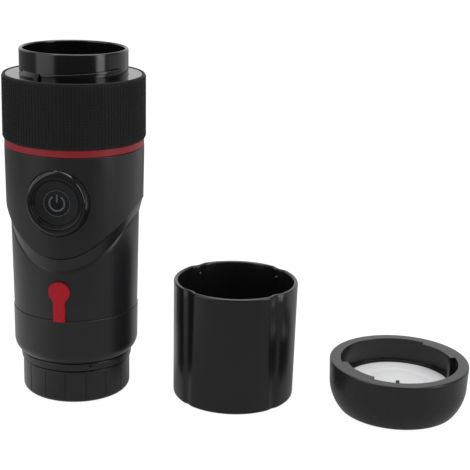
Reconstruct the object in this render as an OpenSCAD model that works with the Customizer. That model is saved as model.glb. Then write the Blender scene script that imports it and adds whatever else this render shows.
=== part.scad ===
// Portable capsule coffee machine with its drinking cup and the lid of its water tank.
// The machine stands on its capsule holder, centred on Z, and its button faces -Y.

/* [Grip and rings] */
// Outer diameter of the rubber grip sleeve
grip_d = 80; // [77:0.5:92]
// Height of the grip sleeve
grip_h = 36; // [30:0.5:46]
// Thickness of the grip sleeve
sleeve_t = 3; // [2.2:0.1:3.6]
// Extra radius at the lower edge of the sleeve
grip_flare = 0.2; // [0:0.05:0.6]
// Edge chamfer of the sleeve
grip_chamfer = 0.9; // [0.3:0.1:1.4]
// Height of the red accent ring
ring_h = 4; // [2.5:0.1:7]
// Inset of the upper shell below the grip, on the radius
grip_step = 0.7; // [0.6:0.1:1.6]
// Inset of the accent ring below the upper shell, on the radius
ring_inset = 0.15; // [0:0.05:0.4]

/* [Body shells] */
// Height from the base seam to the accent ring
body_h = 94.6; // [88:0.1:115]
// Wall of the moulded shells
wall = 2; // [1.6:0.1:2.5]
// Draft of the upper shell, on the radius
upper_draft = 0.6; // [0:0.1:1]
// Depth of the shoulder between the upper and lower shells, on the radius
shoulder_step = 2.1; // [1.4:0.1:3]
// Width of the shoulder's bevel, square to the saddle edge
shoulder_h = 7.4; // [5:0.1:10]
// Height from the lowest point of the saddle edge to the accent ring
saddle_drop = 57.1; // [50:0.5:64]
// Rise of the saddle edge from the front to the sides
saddle_rise = 26.8; // [18:0.1:34]
// Draft of the lower shell, on the radius
lower_draft = 0.9; // [0.2:0.1:1.5]
// Open gap where two shells meet
seam_gap = 0.15; // [0.1:0.05:0.3]

/* [Base] */
// Height of the capsule holder below the brew flange
holder_h = 20.3; // [17:0.1:24]
// Visible height of the brew flange
flange_h = 5; // [3.5:0.1:8]
// Height of the base collar
collar_h = 26.7; // [22:0.1:34]
// How far the collar stands proud of the lower shell
collar_lip = 0.3; // [0.2:0.1:1]
// Radius of the rounding at the collar's lower edge
collar_round = 9; // [7:0.1:14]
// How far that rounding draws the collar in
collar_draw = 3.2; // [2.2:0.1:3.4]
// Inset of the brew flange below the collar, on the radius
flange_step = 3.8; // [3.2:0.1:5]
// Draft of the brew flange, on the radius
flange_draft = 0.2; // [0:0.05:0.4]
// Inset of the capsule holder below the flange, on the radius
holder_step = 1; // [0.3:0.1:1.5]
// Rounding of the holder's foot
foot_round = 3.2; // [2:0.1:4.5]
// Number of grip grooves round the holder
groove_count = 16; // [8:1:24]
// Radius of a grip groove
groove_r = 0.5; // [0.4:0.1:1]

/* [Capsule chamber] */
// Height of the capsule
capsule_h = 28.5; // [26:0.5:33]
// Diameter of the capsule's rim
capsule_rim_d = 37; // [34:0.5:38]
// Diameter of the capsule's body below its rim
capsule_d = 29.6; // [27:0.1:31]
// Diameter of the capsule's closed end
capsule_tip_d = 24; // [21:0.5:26]
// Thickness of the holder's floor under the capsule
holder_floor = 2.5; // [1.8:0.1:4]
// Depth of the recess under the holder
foot_recess = 2; // [1:0.1:3]
// Diameter of the coffee outlet
outlet_d = 7; // [4:0.5:10]
// Wall of the holder's neck outside the capsule rim
holder_neck_wall = 3.7; // [3:0.1:4.2]
// Height of a bayonet lug on the holder
lug_h = 3; // [2:0.1:4]
// Reach of a bayonet lug beyond the holder's neck
lug_reach = 2.1; // [1.4:0.1:2.5]
// Angle of a bayonet lug
lug_angle = 24; // [14:1:30]
// Turn that unlocks the holder
twist_angle = 40; // [25:1:50]
// Thickness of the silicone brew seal
seal_t = 2.4; // [1.6:0.1:3.5]
// Thickness of the piercing plate
pierce_t = 1.2; // [0.8:0.1:2]
// Length of a piercing spike
spike_l = 4; // [2.5:0.1:6]
// Thickness of the brew deck
deck_t = 4; // [3.4:0.1:6]

/* [Water tank] */
// Outer diameter of the neck
neck_d = 60.4; // [54:0.2:61]
// Height of the neck above the top plate
neck_h = 14.4; // [11:0.1:18]
// Wall of the neck
neck_wall = 2; // [1.6:0.1:3]
// Depth of the tank below the neck's rim
tank_depth = 46; // [38:0.5:52]
// Wall of the steel tank
tank_wall = 1; // [0.6:0.1:1.4]
// Thickness of the top plate
plate_t = 1.8; // [1.2:0.1:3]
// How far the top plate lies below the sleeve's upper edge
plate_inset = 0.3; // [0.1:0.1:0.8]
// Width of the tank's flange
tank_flange_w = 4; // [3:0.1:5]
// Thickness of the tank gasket
gasket_t = 1; // [0.6:0.1:1.6]
// Reach of the neck's bayonet lips
lip_reach = 2; // [1.6:0.1:2.6]
// Thickness of a bayonet lip
lip_t = 1.4; // [1:0.1:2]
// Diameter of the heater under the tank
heater_d = 44; // [38:0.5:46]
// Thickness of the heater
heater_t = 5; // [3.5:0.1:6]

/* [Power button] */
// Height from the button's centre to the accent ring
button_drop = 25.6; // [23:0.1:28]
// Outer diameter of the bezel
bezel_d = 37; // [33:0.5:39]
// How far the bezel's crest stands proud of the shell
bezel_proud = 1.5; // [0.8:0.1:2.5]
// Diameter of the button
button_d = 25; // [20:0.5:26]
// Diameter of the clear lens in the button
lens_d = 14.6; // [11:0.2:17]
// Thickness of the lens
lens_t = 1; // [0.7:0.1:1.4]
// Travel of the button
travel = 0.8; // [0.5:0.1:1.2]
// Length of the button's stem
stem_l = 2.6; // [2:0.1:3.5]
// Height of the switch on the board
switch_h = 3.5; // [3:0.1:4]

/* [Control board] */
// Width of the control board
board_w = 30; // [28:0.5:36]
// Height of the control board
board_h = 46; // [44:0.5:47]
// Thickness of the control board
board_t = 1.6; // [1:0.1:2]
// Diameter of a board boss
boss_d = 5.2; // [4.4:0.1:6]

/* [Power inlet] */
// Height from the base seam to the inlet's centre
port_rise = 17.4; // [15:0.1:24]
// Diameter of the inlet's mouth
jack_bore_d = 6.4; // [5.8:0.1:7]
// Diameter of the inlet's centre pin
jack_pin_d = 2.1; // [1.6:0.1:2.5]
// Diameter of the inlet's barrel
jack_d = 9; // [8.2:0.1:10]
// Depth of the inlet's body
jack_l = 10; // [9:0.1:10.5]
// Diameter of the cover's head
cover_d = 12.3; // [11:0.1:15]
// Width of the cover's strap
strap_w = 6.8; // [5:0.1:8]
// Thickness of the cover
cover_t = 1.5; // [1.2:0.1:2]
// Depth of the cover's plug
plug_l = 2; // [1.2:0.1:2.2]

/* [Pump] */
// Diameter of the pump head
pump_d = 42; // [41:0.2:43]
// Height of the pump head
pump_h = 19.5; // [16:0.5:22]
// Diameter of the motor
motor_d = 27.5; // [24:0.5:28.5]
// Length of the motor
motor_l = 36; // [30:0.5:40]
// Outer diameter of the water hose
hose_d = 6; // [5:0.1:6.4]
// Wall of the water hose
hose_wall = 1.1; // [0.8:0.1:1.3]
// Thickness of the pump bracket's plate
bracket_t = 2.5; // [2:0.1:4]
// Height of the bracket's cradle wall
cradle_h = 10; // [6:0.5:14]
// Diameter of a flange screw
screw_d = 3; // [2.5:0.1:3.2]

/* [Cup] */
// Height of the cup
cup_h = 69.7; // [55:0.1:85]
// Wall of the cup
cup_wall = 2; // [1.5:0.1:3]
// Slip of the cup's flutes over the brew flange, on the radius
cup_slip = 0.5; // [0.4:0.1:1.5]
// Depth of a flute below the cup's lobes
flute_depth = 1.3; // [0.8:0.1:3.2]
// Radius of a flute's hollow
flute_r = 8.5; // [4:0.1:10]
// Radius of the blends beside a flute
blend_r = 6.5; // [3.5:0.1:8]
// Draft of the cup's lobes, on the radius
cup_draft = 0.7; // [0:0.1:1]
// Rounding of the cup's lower edge
cup_round = 1.6; // [0.8:0.1:2.5]
// Distance of the lock nubs below the cup's rim
nub_drop = 4.6; // [3:0.1:7]
// Clear floor between the grip and the cup
cup_gap = 17.3; // [6:0.1:40]
// Sideways place of the cup's centre
cup_y = 6.9; // [-20:0.1:20]

/* [Lid] */
// Height of the lid
lid_h = 29; // [26:0.5:36]
// Height of the lid's widest dome line
dome_h = 17; // [14:0.5:20]
// How far the dome's radius exceeds its height
dome_extra = 8.5; // [4:0.5:14]
// Draft of the lid's upper wall, on the radius
lid_draft = 0.5; // [0:0.1:1]
// Clearance from the neck to the lid's bore, on the radius
lid_bore_gap = 3.4; // [3:0.1:4.6]
// Thickness of the bayonet tabs inside the lid
tab_t = 1.7; // [1.2:0.1:2.2]
// Angle of a bayonet tab
tab_angle = 47; // [30:1:55]
// Thickness of the silicone sealing disc
disc_t = 2.6; // [1.6:0.1:4]
// Squeeze of the sealing disc on the neck's rim
disc_squeeze = 0.4; // [0.1:0.1:0.8]
// Diameter of the vent pin
vent_d = 2.2; // [1.6:0.1:4]
// Clear floor between the cup and the lid
lid_gap = 20.7; // [6:0.1:40]
// Sideways place of the lid's centre
lid_y = 3.4; // [-20:0.1:20]

/* [Fits] */
// Gap between pieces that move past each other
run_gap = 0.3; // [0.25:0.05:0.4]
// Gap between fixed pieces that slip together
slip_gap = 0.1; // [0.05:0.01:0.15]
// Gap of the button in its bezel and of the switch's plunger
guide_gap = 0.08; // [0.05:0.01:0.1]

/* [Hidden] */
$fn = 96;
far = 200;

// Heights of the stack, from the floor up
z_collar = holder_h + flange_h;
z_seam = z_collar + collar_h;
z_ring = z_seam + body_h;
z_grip = z_ring + ring_h;
z_top = z_grip + grip_h;
z_plate = z_top - plate_inset;
z_spigot = z_plate - plate_t;
z_rim = z_plate + neck_h;

// Radii of the outside, from the grip inwards
grip_r = grip_d / 2;
spigot_r = grip_r - sleeve_t;
sleeve_rim = 1.1;
plate_r = grip_r - grip_chamfer - sleeve_rim;
shell_r = grip_r - grip_step;
upper_low_r = shell_r - upper_draft;
lower_top_r = upper_low_r - shoulder_step;
lower_low_r = lower_top_r - lower_draft;
collar_r = lower_low_r + collar_lip;
flange_r = collar_r - flange_step;
holder_r = flange_r - holder_step;

// Saddle edge: lowest at the front and back, highest at the two sides
z_saddle_low = z_ring - saddle_drop;
z_saddle = z_saddle_low + saddle_rise;
saddle_sides = 96;
saddle_bearings = [for (i = [0:saddle_sides - 1]) 360 * i / saddle_sides];
shoulder_proud = 0.05;
shoulder_in = 0.4;
shoulder_in_r = lower_top_r - wall + shoulder_in;
tube_overlap = 3;

// Lines of the tapering shells
function upper_r(z) = upper_low_r + upper_draft * (z - z_saddle_low) / (z_ring - z_saddle_low);
function lower_r(z) = lower_low_r + lower_draft * (z - z_seam) / (z_saddle - z_seam);
function saddle_z(a) = z_saddle_low + saddle_rise * pow(sin(a), 2);
function saddle_slope(a) = saddle_rise * sin(2 * a) / upper_low_r;
function shoulder_z(a) = saddle_z(a) - shoulder_h * sqrt(1 + pow(saddle_slope(a), 2));
function arc(c, r, a, b, n) =
    [for (i = [0:n]) c + r * [cos(a + (b - a) * i / n), sin(a + (b - a) * i / n)]];
function bearing(a) = a - 90;

// Capsule chamber and brew head
z_floor = foot_recess + holder_floor;
z_lip = z_floor + capsule_h;
rim_r = capsule_rim_d / 2 + run_gap;
rim_seat = 1.2;
holder_neck_r = rim_r + holder_neck_wall;
holder_top = holder_h - run_gap;
lug_r = holder_neck_r + lug_reach;
lug_z = (holder_h + z_lip - lug_h) / 2;
lug_count = 3;
lug_margin = 1.5;
groove_wall_r = lug_r + run_gap + slip_gap;
entry_wall_r = groove_wall_r + slip_gap;
entry_margin = lug_margin + 1;
brew_gap = 0.6;
z_deck = z_lip + brew_gap + seal_t;
z_deck_top = z_deck + deck_t;
bore_r = holder_neck_r + run_gap;
throat_r = bore_r - 1.5;
seal_in_r = rim_r - 1;
collar_throat_r = flange_r - 1.2;
flange_spigot_r = collar_throat_r - slip_gap;
flange_edge = 0.8;
sieve_t = 0.8;

// Screws of the brew flange
screw_r = screw_d / 2;
screw_head_r = screw_r + 1.2;
screw_head_h = 2;
screw_ring_r = (groove_wall_r + flange_spigot_r) / 2;
screw_count = 3;

// Pump stack on the brew deck
z_bracket = z_deck_top + bracket_t;
z_pump = z_bracket + pump_h;
z_motor = z_pump + motor_l;
cradle_wall = 1.8;
nozzle_r = 3;
nozzle_dip = 2.8;
hose_r = hose_d / 2;
barb_r = hose_r - hose_wall - slip_gap / 2;
hose_ring_r = motor_d / 2 + hose_r + 0.9;
hose_bearing = 150;
barb_l = 8;

// Tank stack under the top plate
neck_r = neck_d / 2;
neck_in_r = neck_r - neck_wall;
neck_flange_t = 2;
z_gasket = z_spigot - neck_flange_t - gasket_t;
z_ledge = z_gasket - tank_wall;
ledge_h = 3;
tank_r = neck_in_r + tank_wall;
tank_flange_r = tank_r + tank_flange_w;
z_tank_floor = z_rim - tank_depth;
z_heater = z_tank_floor - tank_wall - heater_t;
heater_rib = 2;
heater_margin = 5;
heater_ear = 1.9;
thermostat_r = 7;
thermostat_h = 6;
thermostat_flange = 1.5;

// Bayonet of the neck
lip_r = neck_r + lip_reach;
lip_from = -13;
lip_to = 68;
lip_rise = 2.1;
lip_start = tab_t + 0.2;
stop_from = -50;
stop_to = -22;
stop_h = 3.2;

// Button stack, as distances in front of the axis
z_button = z_ring - button_drop;
d_shell = upper_r(z_button);
d_crest = d_shell + bezel_proud;
d_lip = d_shell - 0.1;
bezel_lip_t = 2.6;
d_lip_back = d_lip - bezel_lip_t;
button_flange_t = 1.4;
d_button_back = d_lip_back - run_gap - button_flange_t;
d_stem = d_button_back - stem_l;
d_switch = d_stem - travel - run_gap;
d_board = d_switch - switch_h;
d_board_back = d_board - board_t;
bezel_r = bezel_d / 2;
button_r = button_d / 2;
button_flange_r = button_r + 1.3;
bezel_back = 4.6;
skirt_w = 3;
skirt_h = 6;
bezel_brim = 0.3;
crest_round = 1.6;
crest_from = 17;
crest_to = 130;
dish_w = 1.6;
dish_rise = 0.5;
dish_r = 100;
button_inset = 0.2;
switch_w = 6.2;
plunger_r = 1.75;
boss_x = 12;
boss_dz = 20;
board_screw_r = 1.2;
board_screw_l = 5;
board_head_h = 1.6;
chip_w = 9;
chip_h = 6;
chip_t = 2;
relay_w = 7;
relay_h = 9;
relay_t = 3;
capacitor_r = 3;
capacitor_l = 7;
part_sink = board_t / 3;

// Power inlet and its cover
z_port = z_seam + port_rise;
d_port = lower_r(z_port);
jack_r = jack_d / 2;
d_jack = d_port - 0.5;
d_jack_body = d_port - wall - 0.6;
jack_w = jack_d + 0.4;
jack_h = jack_d + 1;
pin_inset = 1;
jack_floor = 1.5;
cover_r = cover_d / 2;
cover_in = run_gap;
knuckle_r = cover_t / 2;
knuckle_gap = 0.1;
d_knuckle = lower_r(z_seam) + cover_in + knuckle_r;
z_knuckle = z_seam + run_gap;
plug_r = jack_bore_d / 2 - 0.7;
plug_wall = 1;
root_t = 0.7;
root_l = 3;
lead_r = 0.8;
lead_x = 2.5;

// Cup and lid
cup_flute_r = flange_r + cup_slip + cup_wall;
cup_lobe_r = cup_flute_r + flute_depth;
cup_x = grip_r + cup_gap + cup_lobe_r;
flute_c = cup_flute_r + flute_r;
blend_c = cup_lobe_r - blend_r;
blend_a = acos((blend_c * blend_c + flute_c * flute_c - pow(flute_r + blend_r, 2))
    / (2 * blend_c * flute_c));
flute_count = 4;
nub_r = 1.1;
nub_reach = 0.8;
lid_r = grip_r;
lid_x = cup_x + cup_lobe_r + lid_gap + lid_r;
lid_bore_r = neck_r + lid_bore_gap;
lid_edge = 0.8;
tab_r = neck_r + 0.4;
tab_from = 17;
tab_count = 2;
dome_r = dome_h + dome_extra;
dome_edge = 0.7;
base_bevel = 4;
z_disc = lid_h - neck_h + disc_squeeze;
disc_r = neck_r + 0.4;
vent_rise = 1.4;
vent_foot = 1.2;

module revolve(points) {
    rotate_extrude()
        polygon(points);
}

module sector(points, from, span) {
    rotate([0, 0, from])
        rotate_extrude(angle = span)
            polygon(points);
}

module tube(r_out, r_in, z0, z1) {
    revolve([[r_in, z0], [r_out, z0], [r_out, z1], [r_in, z1]]);
}

// Places children on a front-facing axis: their z runs out towards -Y, their y runs up
module on_front(z) {
    translate([0, 0, z])
        rotate([90, 0, 0])
            children();
}

module around(count, from = 0) {
    for (i = [0:count - 1])
        rotate([0, 0, from + 360 * i / count])
            children();
}

// Ring lofted through one section for each bearing round the body
module saddle_ring(sections) {
    count = len(sections);
    corners = len(sections[0]);
    total = corners * count;
    points = [for (i = [0:count - 1], p = sections[i])
        let (a = 360 * i / count)
        [p[0] * sin(a), -p[0] * cos(a), p[1]]];
    faces = [for (i = [0:count - 1], j = [0:corners - 1])
        let (a = corners * i + j, b = corners * i + (j + 1) % corners,
            c = (a + corners) % total, d = (b + corners) % total)
        each [[a, b, d], [a, d, c]]];
    polyhedron(points, faces);
}

// All that lies above an edge with one height for each bearing round the body
module above_edge(heights) {
    saddle_ring([for (z = heights)
        [[tank_r / 2, z], [shoulder_in_r, z], [upper_r(z) + shoulder_in, z], [2 * grip_r, z],
            [2 * grip_r, z_rim], [tank_r / 2, z_rim]]]);
}

module grip_sleeve() {
    low = grip_r + grip_flare;
    seat_r = spigot_r + slip_gap;
    lip_r_in = plate_r + slip_gap;
    color("#1b1b1c")
        revolve([[seat_r, z_grip], [low - grip_chamfer, z_grip], [low, z_grip + grip_chamfer],
            [grip_r, z_top - grip_chamfer], [grip_r - grip_chamfer, z_top], [lip_r_in, z_top],
            [lip_r_in, z_spigot], [seat_r, z_spigot]]);
}

module accent_ring() {
    r = shell_r - ring_inset;
    edge = 0.4;
    color("#8d1d22")
        revolve([[spigot_r + slip_gap, z_ring], [r - edge, z_ring], [r, z_ring + edge],
            [r, z_grip - edge], [r - edge, z_grip], [spigot_r + slip_gap, z_grip]]);
}

module upper_shell() {
    in_r = spigot_r - wall;
    ledge_r = tank_r + slip_gap;
    root_z = z_ring - 4;
    low_z = z_saddle_low - 1;
    color("#2a2a2c")
        difference() {
            union() {
                intersection() {
                    revolve([[upper_r(low_z) - wall, low_z], [upper_r(low_z), low_z], [shell_r, z_ring],
                        [spigot_r, z_ring], [spigot_r, z_spigot], [in_r, z_spigot], [in_r, z_ledge],
                        [ledge_r, z_ledge], [ledge_r, z_ledge - ledge_h],
                        [in_r, z_ledge - ledge_h - in_r + ledge_r], [in_r, root_z],
                        [upper_r(root_z - wall) - wall, root_z - wall]]);
                    above_edge([for (a = saddle_bearings) saddle_z(a)]);
                }
                board_bosses();
            }
            on_front(z_button)
                cylinder(r = bezel_r + slip_gap, h = far);
            board_holes(board_screw_r + slip_gap, d_board - 1, d_board + board_screw_l + 1);
        }
}

module board_bosses() {
    intersection() {
        board_holes(boss_d / 2, d_board, far);
        cylinder(r = upper_low_r - wall / 2, h = z_ring);
    }
}

// Cylinders along the board's four screw axes
module board_holes(r, d0, d1) {
    on_front(z_button)
        for (x = [-boss_x, boss_x], y = [-boss_dz, boss_dz])
            translate([x, y, d0])
                cylinder(r = r, h = d1 - d0);
}

module lower_shell() {
    slot_w = strap_w + 2 * slip_gap;
    color("#2a2a2c")
        difference() {
            union() {
                difference() {
                    revolve([[lower_low_r - wall, z_seam + seam_gap], [lower_low_r, z_seam + seam_gap],
                        [lower_r(z_saddle), z_saddle], [lower_r(z_saddle) - wall, z_saddle]]);
                    above_edge([for (a = saddle_bearings) shoulder_z(a) + tube_overlap]);
                }
                shoulder_ring();
            }
            on_front(z_port)
                cylinder(r = jack_r + slip_gap, h = far);
            translate([-slot_w / 2, -far, z_seam])
                cube([slot_w, far - lower_low_r + root_l, z_knuckle - z_seam + slip_gap]);
        }
}

// Bevelled shoulder that follows the saddle edge round the body
module shoulder_ring() {
    saddle_ring([for (a = saddle_bearings)
        let (low = shoulder_z(a), high = saddle_z(a) - seam_gap)
        [[lower_r(low) + shoulder_proud, low], [upper_r(high), high], [shoulder_in_r, high],
            [shoulder_in_r, low + tube_overlap / 2]]]);
}

module base_collar() {
    tongue_r = lower_low_r - wall - slip_gap;
    tongue_in = tongue_r - 2;
    tongue_h = 8;
    root_z = z_seam - 6;
    in_r = collar_r - wall;
    mid_r = lower_low_r + collar_lip / 2;
    turn = acos(1 - collar_draw / collar_round);
    round_c = [mid_r - collar_round, z_collar + collar_round * sin(turn)];
    slot_w = strap_w + 2 * slip_gap;
    color("#2a2a2c")
        difference() {
            revolve(concat([[collar_throat_r, z_collar]], arc(round_c, collar_round, -turn, 0, 8),
                [[collar_r, z_seam], [tongue_r, z_seam], [tongue_r, z_seam + tongue_h],
                [tongue_in, z_seam + tongue_h], [tongue_in, root_z], [in_r, root_z - in_r + tongue_in],
                [in_r, round_c[1] + 1], [collar_throat_r, z_collar + 4]]));
            translate([-slot_w / 2, -far, z_knuckle - knuckle_r - slip_gap])
                cube([slot_w, far - lower_low_r + root_l + slip_gap, knuckle_r + slip_gap + 2]);
        }
}

module brew_flange() {
    color("#29292b")
        difference() {
            revolve([[bore_r, holder_h], [flange_r - flange_draft, holder_h],
                [flange_r + flange_draft, z_collar - seam_gap - flange_edge],
                [flange_r + flange_draft - flange_edge, z_collar - seam_gap],
                [flange_spigot_r, z_collar - seam_gap], [flange_spigot_r, z_deck_top], [0, z_deck_top],
                [0, z_deck], [throat_r, z_deck], [throat_r, z_lip + run_gap], [bore_r, z_lip + run_gap]]);
            around(lug_count) {
                sector([[bore_r - 1, lug_z - run_gap], [groove_wall_r, lug_z - run_gap],
                    [groove_wall_r, lug_z + lug_h + run_gap], [bore_r - 1, lug_z + lug_h + run_gap]],
                    -lug_angle / 2 - lug_margin, lug_angle + twist_angle + 2 * lug_margin);
                sector([[bore_r - 1, holder_h - 1], [entry_wall_r, holder_h - 1],
                    [entry_wall_r, lug_z + lug_h / 2], [bore_r - 1, lug_z + lug_h / 2]],
                    twist_angle - lug_angle / 2 - entry_margin, lug_angle + 2 * entry_margin);
            }
            cylinder(r = screw_r, h = far);
            translate([0, 0, z_deck_top - nozzle_dip - slip_gap])
                cylinder(r = nozzle_r + slip_gap, h = far);
            around(screw_count, 90) {
                translate([screw_ring_r, 0, 0])
                    cylinder(r = screw_r + slip_gap, h = far);
                translate([screw_ring_r, 0, 0])
                    cylinder(r = screw_head_r + slip_gap, h = holder_h + screw_head_h + run_gap);
            }
        }
}

module top_plate() {
    color("#0e0e0f")
        tube(plate_r, neck_r + slip_gap, z_spigot, z_plate);
}

module tank_neck() {
    edge = neck_wall / 2;
    mid = (lip_from + lip_to) / 2;
    half = (lip_to - lip_from) / 2;
    slope = atan(lip_rise / (2 * neck_r * sin(half)));
    color("#0e0e0f") {
        revolve(concat([[neck_in_r, z_gasket + gasket_t], [tank_flange_r, z_gasket + gasket_t],
            [tank_flange_r, z_spigot], [neck_r, z_spigot]],
            arc([neck_in_r + edge, z_rim - edge], edge, 0, 180, 8)));
        around(2) {
            intersection() {
                sector([[neck_r - 1, z_plate], [lip_r, z_plate], [lip_r, z_rim], [neck_r - 1, z_rim]],
                    bearing(lip_from), lip_to - lip_from);
                rotate([0, 0, bearing(mid)])
                    translate([0, 0, z_plate + lip_start + lip_rise / 2])
                        rotate([slope, 0, 0])
                            translate([0, -far / 2, 0])
                                cube([far, far, lip_t]);
            }
            sector([[neck_r - 1, z_plate], [lip_r, z_plate], [lip_r, z_plate + stop_h / 4],
                [neck_r - 0.2, z_plate + stop_h], [neck_r - 1, z_plate + stop_h]],
                bearing(stop_from), stop_to - stop_from);
        }
    }
}

module tank_gasket() {
    color("#b9b9b4")
        tube(tank_flange_r, neck_in_r, z_gasket, z_gasket + gasket_t);
}

module hose_place() {
    rotate([0, 0, bearing(hose_bearing)])
        translate([hose_ring_r, 0, 0])
            children();
}

module water_tank() {
    floor_z = z_tank_floor - tank_wall;
    color("#3a3a3c")
        difference() {
            union() {
                revolve([[0, floor_z], [tank_r, floor_z], [tank_r, z_ledge], [tank_flange_r, z_ledge],
                    [tank_flange_r, z_gasket], [neck_in_r, z_gasket], [neck_in_r, z_tank_floor],
                    [0, z_tank_floor]]);
                hose_place()
                    translate([0, 0, z_heater - barb_l])
                        cylinder(r = barb_r, h = floor_z - z_heater + barb_l + tank_wall / 2);
            }
            hose_place()
                translate([0, 0, z_heater - barb_l - 1])
                    cylinder(r = barb_r / 2, h = far);
        }
}

module heater_plate() {
    rib_r = heater_d / 2 - heater_margin;
    hole_r = barb_r + 4 * slip_gap;
    color("#a7a8aa")
        difference() {
            union() {
                translate([0, 0, z_heater + heater_rib])
                    cylinder(d = heater_d, h = heater_t - heater_rib);
                tube(rib_r + heater_rib, rib_r - heater_rib, z_heater, z_heater + 1.5 * heater_rib);
                hose_place()
                    translate([0, 0, z_heater + heater_rib])
                        cylinder(r = hole_r + heater_ear, h = heater_t - heater_rib);
            }
            hose_place()
                cylinder(r = hole_r, h = far);
        }
}

module thermostat() {
    z = z_heater + heater_rib;
    color("#c8c4b8") {
        translate([0, 0, z - thermostat_h])
            cylinder(r = thermostat_r, h = thermostat_h);
        translate([0, 0, z - 1])
            cylinder(r = thermostat_r + thermostat_flange, h = 1);
        for (x = [-3.5, 3.5])
            translate([x - 1.5, -0.4, z - thermostat_h - 5])
                cube([3, 0.8, 6]);
    }
}

// Bezel whose skirt slopes from the crest to the shell, with a brim flush with the shell round it
module button_bezel() {
    crest_r = bezel_r - skirt_w;
    rim_r_in = button_r + guide_gap;
    back = d_lip_back - bezel_back;
    back_r = button_flange_r + run_gap;
    brim_z = z_button - far / 4;
    color("#0c0c0d") {
        on_front(z_button)
            revolve(concat([[back_r, back], [bezel_r, back], [bezel_r, d_crest - skirt_h]],
                arc([crest_r, d_crest - crest_round], crest_round, crest_from, crest_to, 8),
                [[button_r + dish_w, d_lip + dish_rise], [rim_r_in, d_lip], [rim_r_in, d_lip_back],
                [back_r, d_lip_back]]));
        intersection() {
            on_front(z_button)
                tube(bezel_r, crest_r, back + 1, d_crest);
            translate([0, 0, brim_z])
                cylinder(r1 = upper_r(brim_z) + bezel_brim, r2 = upper_r(brim_z + far / 2) + bezel_brim,
                    h = far / 2);
        }
    }
}

module dish(inset) {
    translate([0, 0, d_lip - button_inset - inset + sqrt(dish_r * dish_r - button_r * button_r)])
        sphere(r = dish_r, $fn = 200);
}

module power_button() {
    color("#1a1a1c")
        on_front(z_button)
            difference() {
                revolve([[0, d_stem], [plunger_r + 0.8, d_stem], [plunger_r + 0.8, d_button_back],
                    [button_flange_r, d_button_back], [button_flange_r, d_button_back + button_flange_t],
                    [button_r, d_button_back + button_flange_t], [button_r, d_lip - button_inset],
                    [0, d_lip - button_inset]]);
                dish(0);
                translate([0, 0, d_lip - button_inset - lens_t - 0.8])
                    cylinder(d = lens_d + 2 * slip_gap, h = far);
            }
}

module button_lens() {
    color("#23262a")
        on_front(z_button)
            difference() {
                translate([0, 0, d_lip - button_inset - lens_t - 0.8])
                    cylinder(d = lens_d, h = lens_t + 0.8);
                dish(0);
            }
}

module switch_plunger() {
    color("#e3e0d8")
        on_front(z_button)
            translate([0, 0, d_switch - 1.2])
                cylinder(r = plunger_r, h = d_stem - d_switch + 1.2);
}

module tact_switch() {
    color("#3b3d40")
        on_front(z_button)
            difference() {
                translate([-switch_w / 2, -switch_w / 2, d_board])
                    cube([switch_w, switch_w, switch_h]);
                translate([0, 0, d_switch - 1.2 - travel - run_gap])
                    cylinder(r = plunger_r + guide_gap, h = far);
            }
}

module control_board() {
    color("#1f5a35")
        difference() {
            on_front(z_button) {
                translate([-board_w / 2, -board_h / 2, d_board_back])
                    cube([board_w, board_h, board_t]);
                translate([-relay_w - chip_t, -board_h / 3, d_board_back - relay_t])
                    cube([relay_w, relay_h, relay_t + part_sink]);
                translate([chip_w / 3, chip_h, d_board_back - chip_t])
                    cube([chip_w, chip_h, chip_t + part_sink]);
                translate([board_w / 6, -board_h / 4.5, d_board_back - capacitor_l])
                    cylinder(r = capacitor_r, h = capacitor_l + part_sink);
            }
            board_holes(board_screw_r + 0.3, d_board_back - 1, d_board + 1);
        }
}

module board_screws() {
    color("#b7b8ba") {
        board_holes(board_screw_r, d_board_back, d_board + board_screw_l);
        board_holes(2 * board_screw_r, d_board_back - board_head_h, d_board_back);
    }
}

module dc_jack() {
    color("#18181a")
        on_front(z_port) {
            difference() {
                union() {
                    translate([-jack_w / 2, -jack_h / 2, d_jack_body - jack_l])
                        cube([jack_w, jack_h, jack_l]);
                    translate([0, 0, d_jack_body - 1])
                        cylinder(r = jack_r, h = d_jack - d_jack_body + 1);
                }
                translate([0, 0, d_jack_body - jack_l + jack_floor])
                    cylinder(d = jack_bore_d, h = far);
            }
            translate([0, 0, d_jack_body - jack_l + jack_floor / 2])
                cylinder(d = jack_pin_d, h = d_jack - pin_inset - d_jack_body + jack_l - jack_floor / 2);
        }
}

module supply_leads() {
    d = d_board_back + board_t / 2;
    z0 = z_port + jack_h / 2;
    color("#b02a2a")
        for (x = [-lead_x, lead_x])
            translate([x, -d, z0])
                cylinder(r = lead_r, h = z_button - board_h / 2 - z0);
}

// Rounded root of the cover, held in the seam above the base collar
module cover_root() {
    color("#c11d24") {
        translate([-strap_w / 2, -d_knuckle, z_knuckle])
            rotate([0, 90, 0])
                cylinder(r = knuckle_r, h = strap_w);
        translate([-strap_w / 2, -d_knuckle, z_knuckle - knuckle_r])
            cube([strap_w, d_knuckle - lower_low_r + root_l, root_t]);
    }
}

// Outline of the cover: round head, strap and the hollow blends between them
module cover_outline() {
    half = strap_w / 2;
    fillet = 5;
    drop = sqrt(pow(cover_r + fillet, 2) - pow(half + fillet, 2));
    circle(cover_r);
    difference() {
        translate([-half - fillet, -drop])
            square([strap_w + 2 * fillet, drop]);
        for (side = [-1, 1])
            translate([side * (half + fillet), -drop])
                circle(fillet);
        difference() {
            translate([-far, -far])
                square([2 * far, 2 * far]);
            polygon([[0, 0], [half + fillet, -drop], [-half - fillet, -drop]]);
        }
    }
    translate([-half, -port_rise - 1])
        square([strap_w, port_rise + 1]);
}

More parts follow.
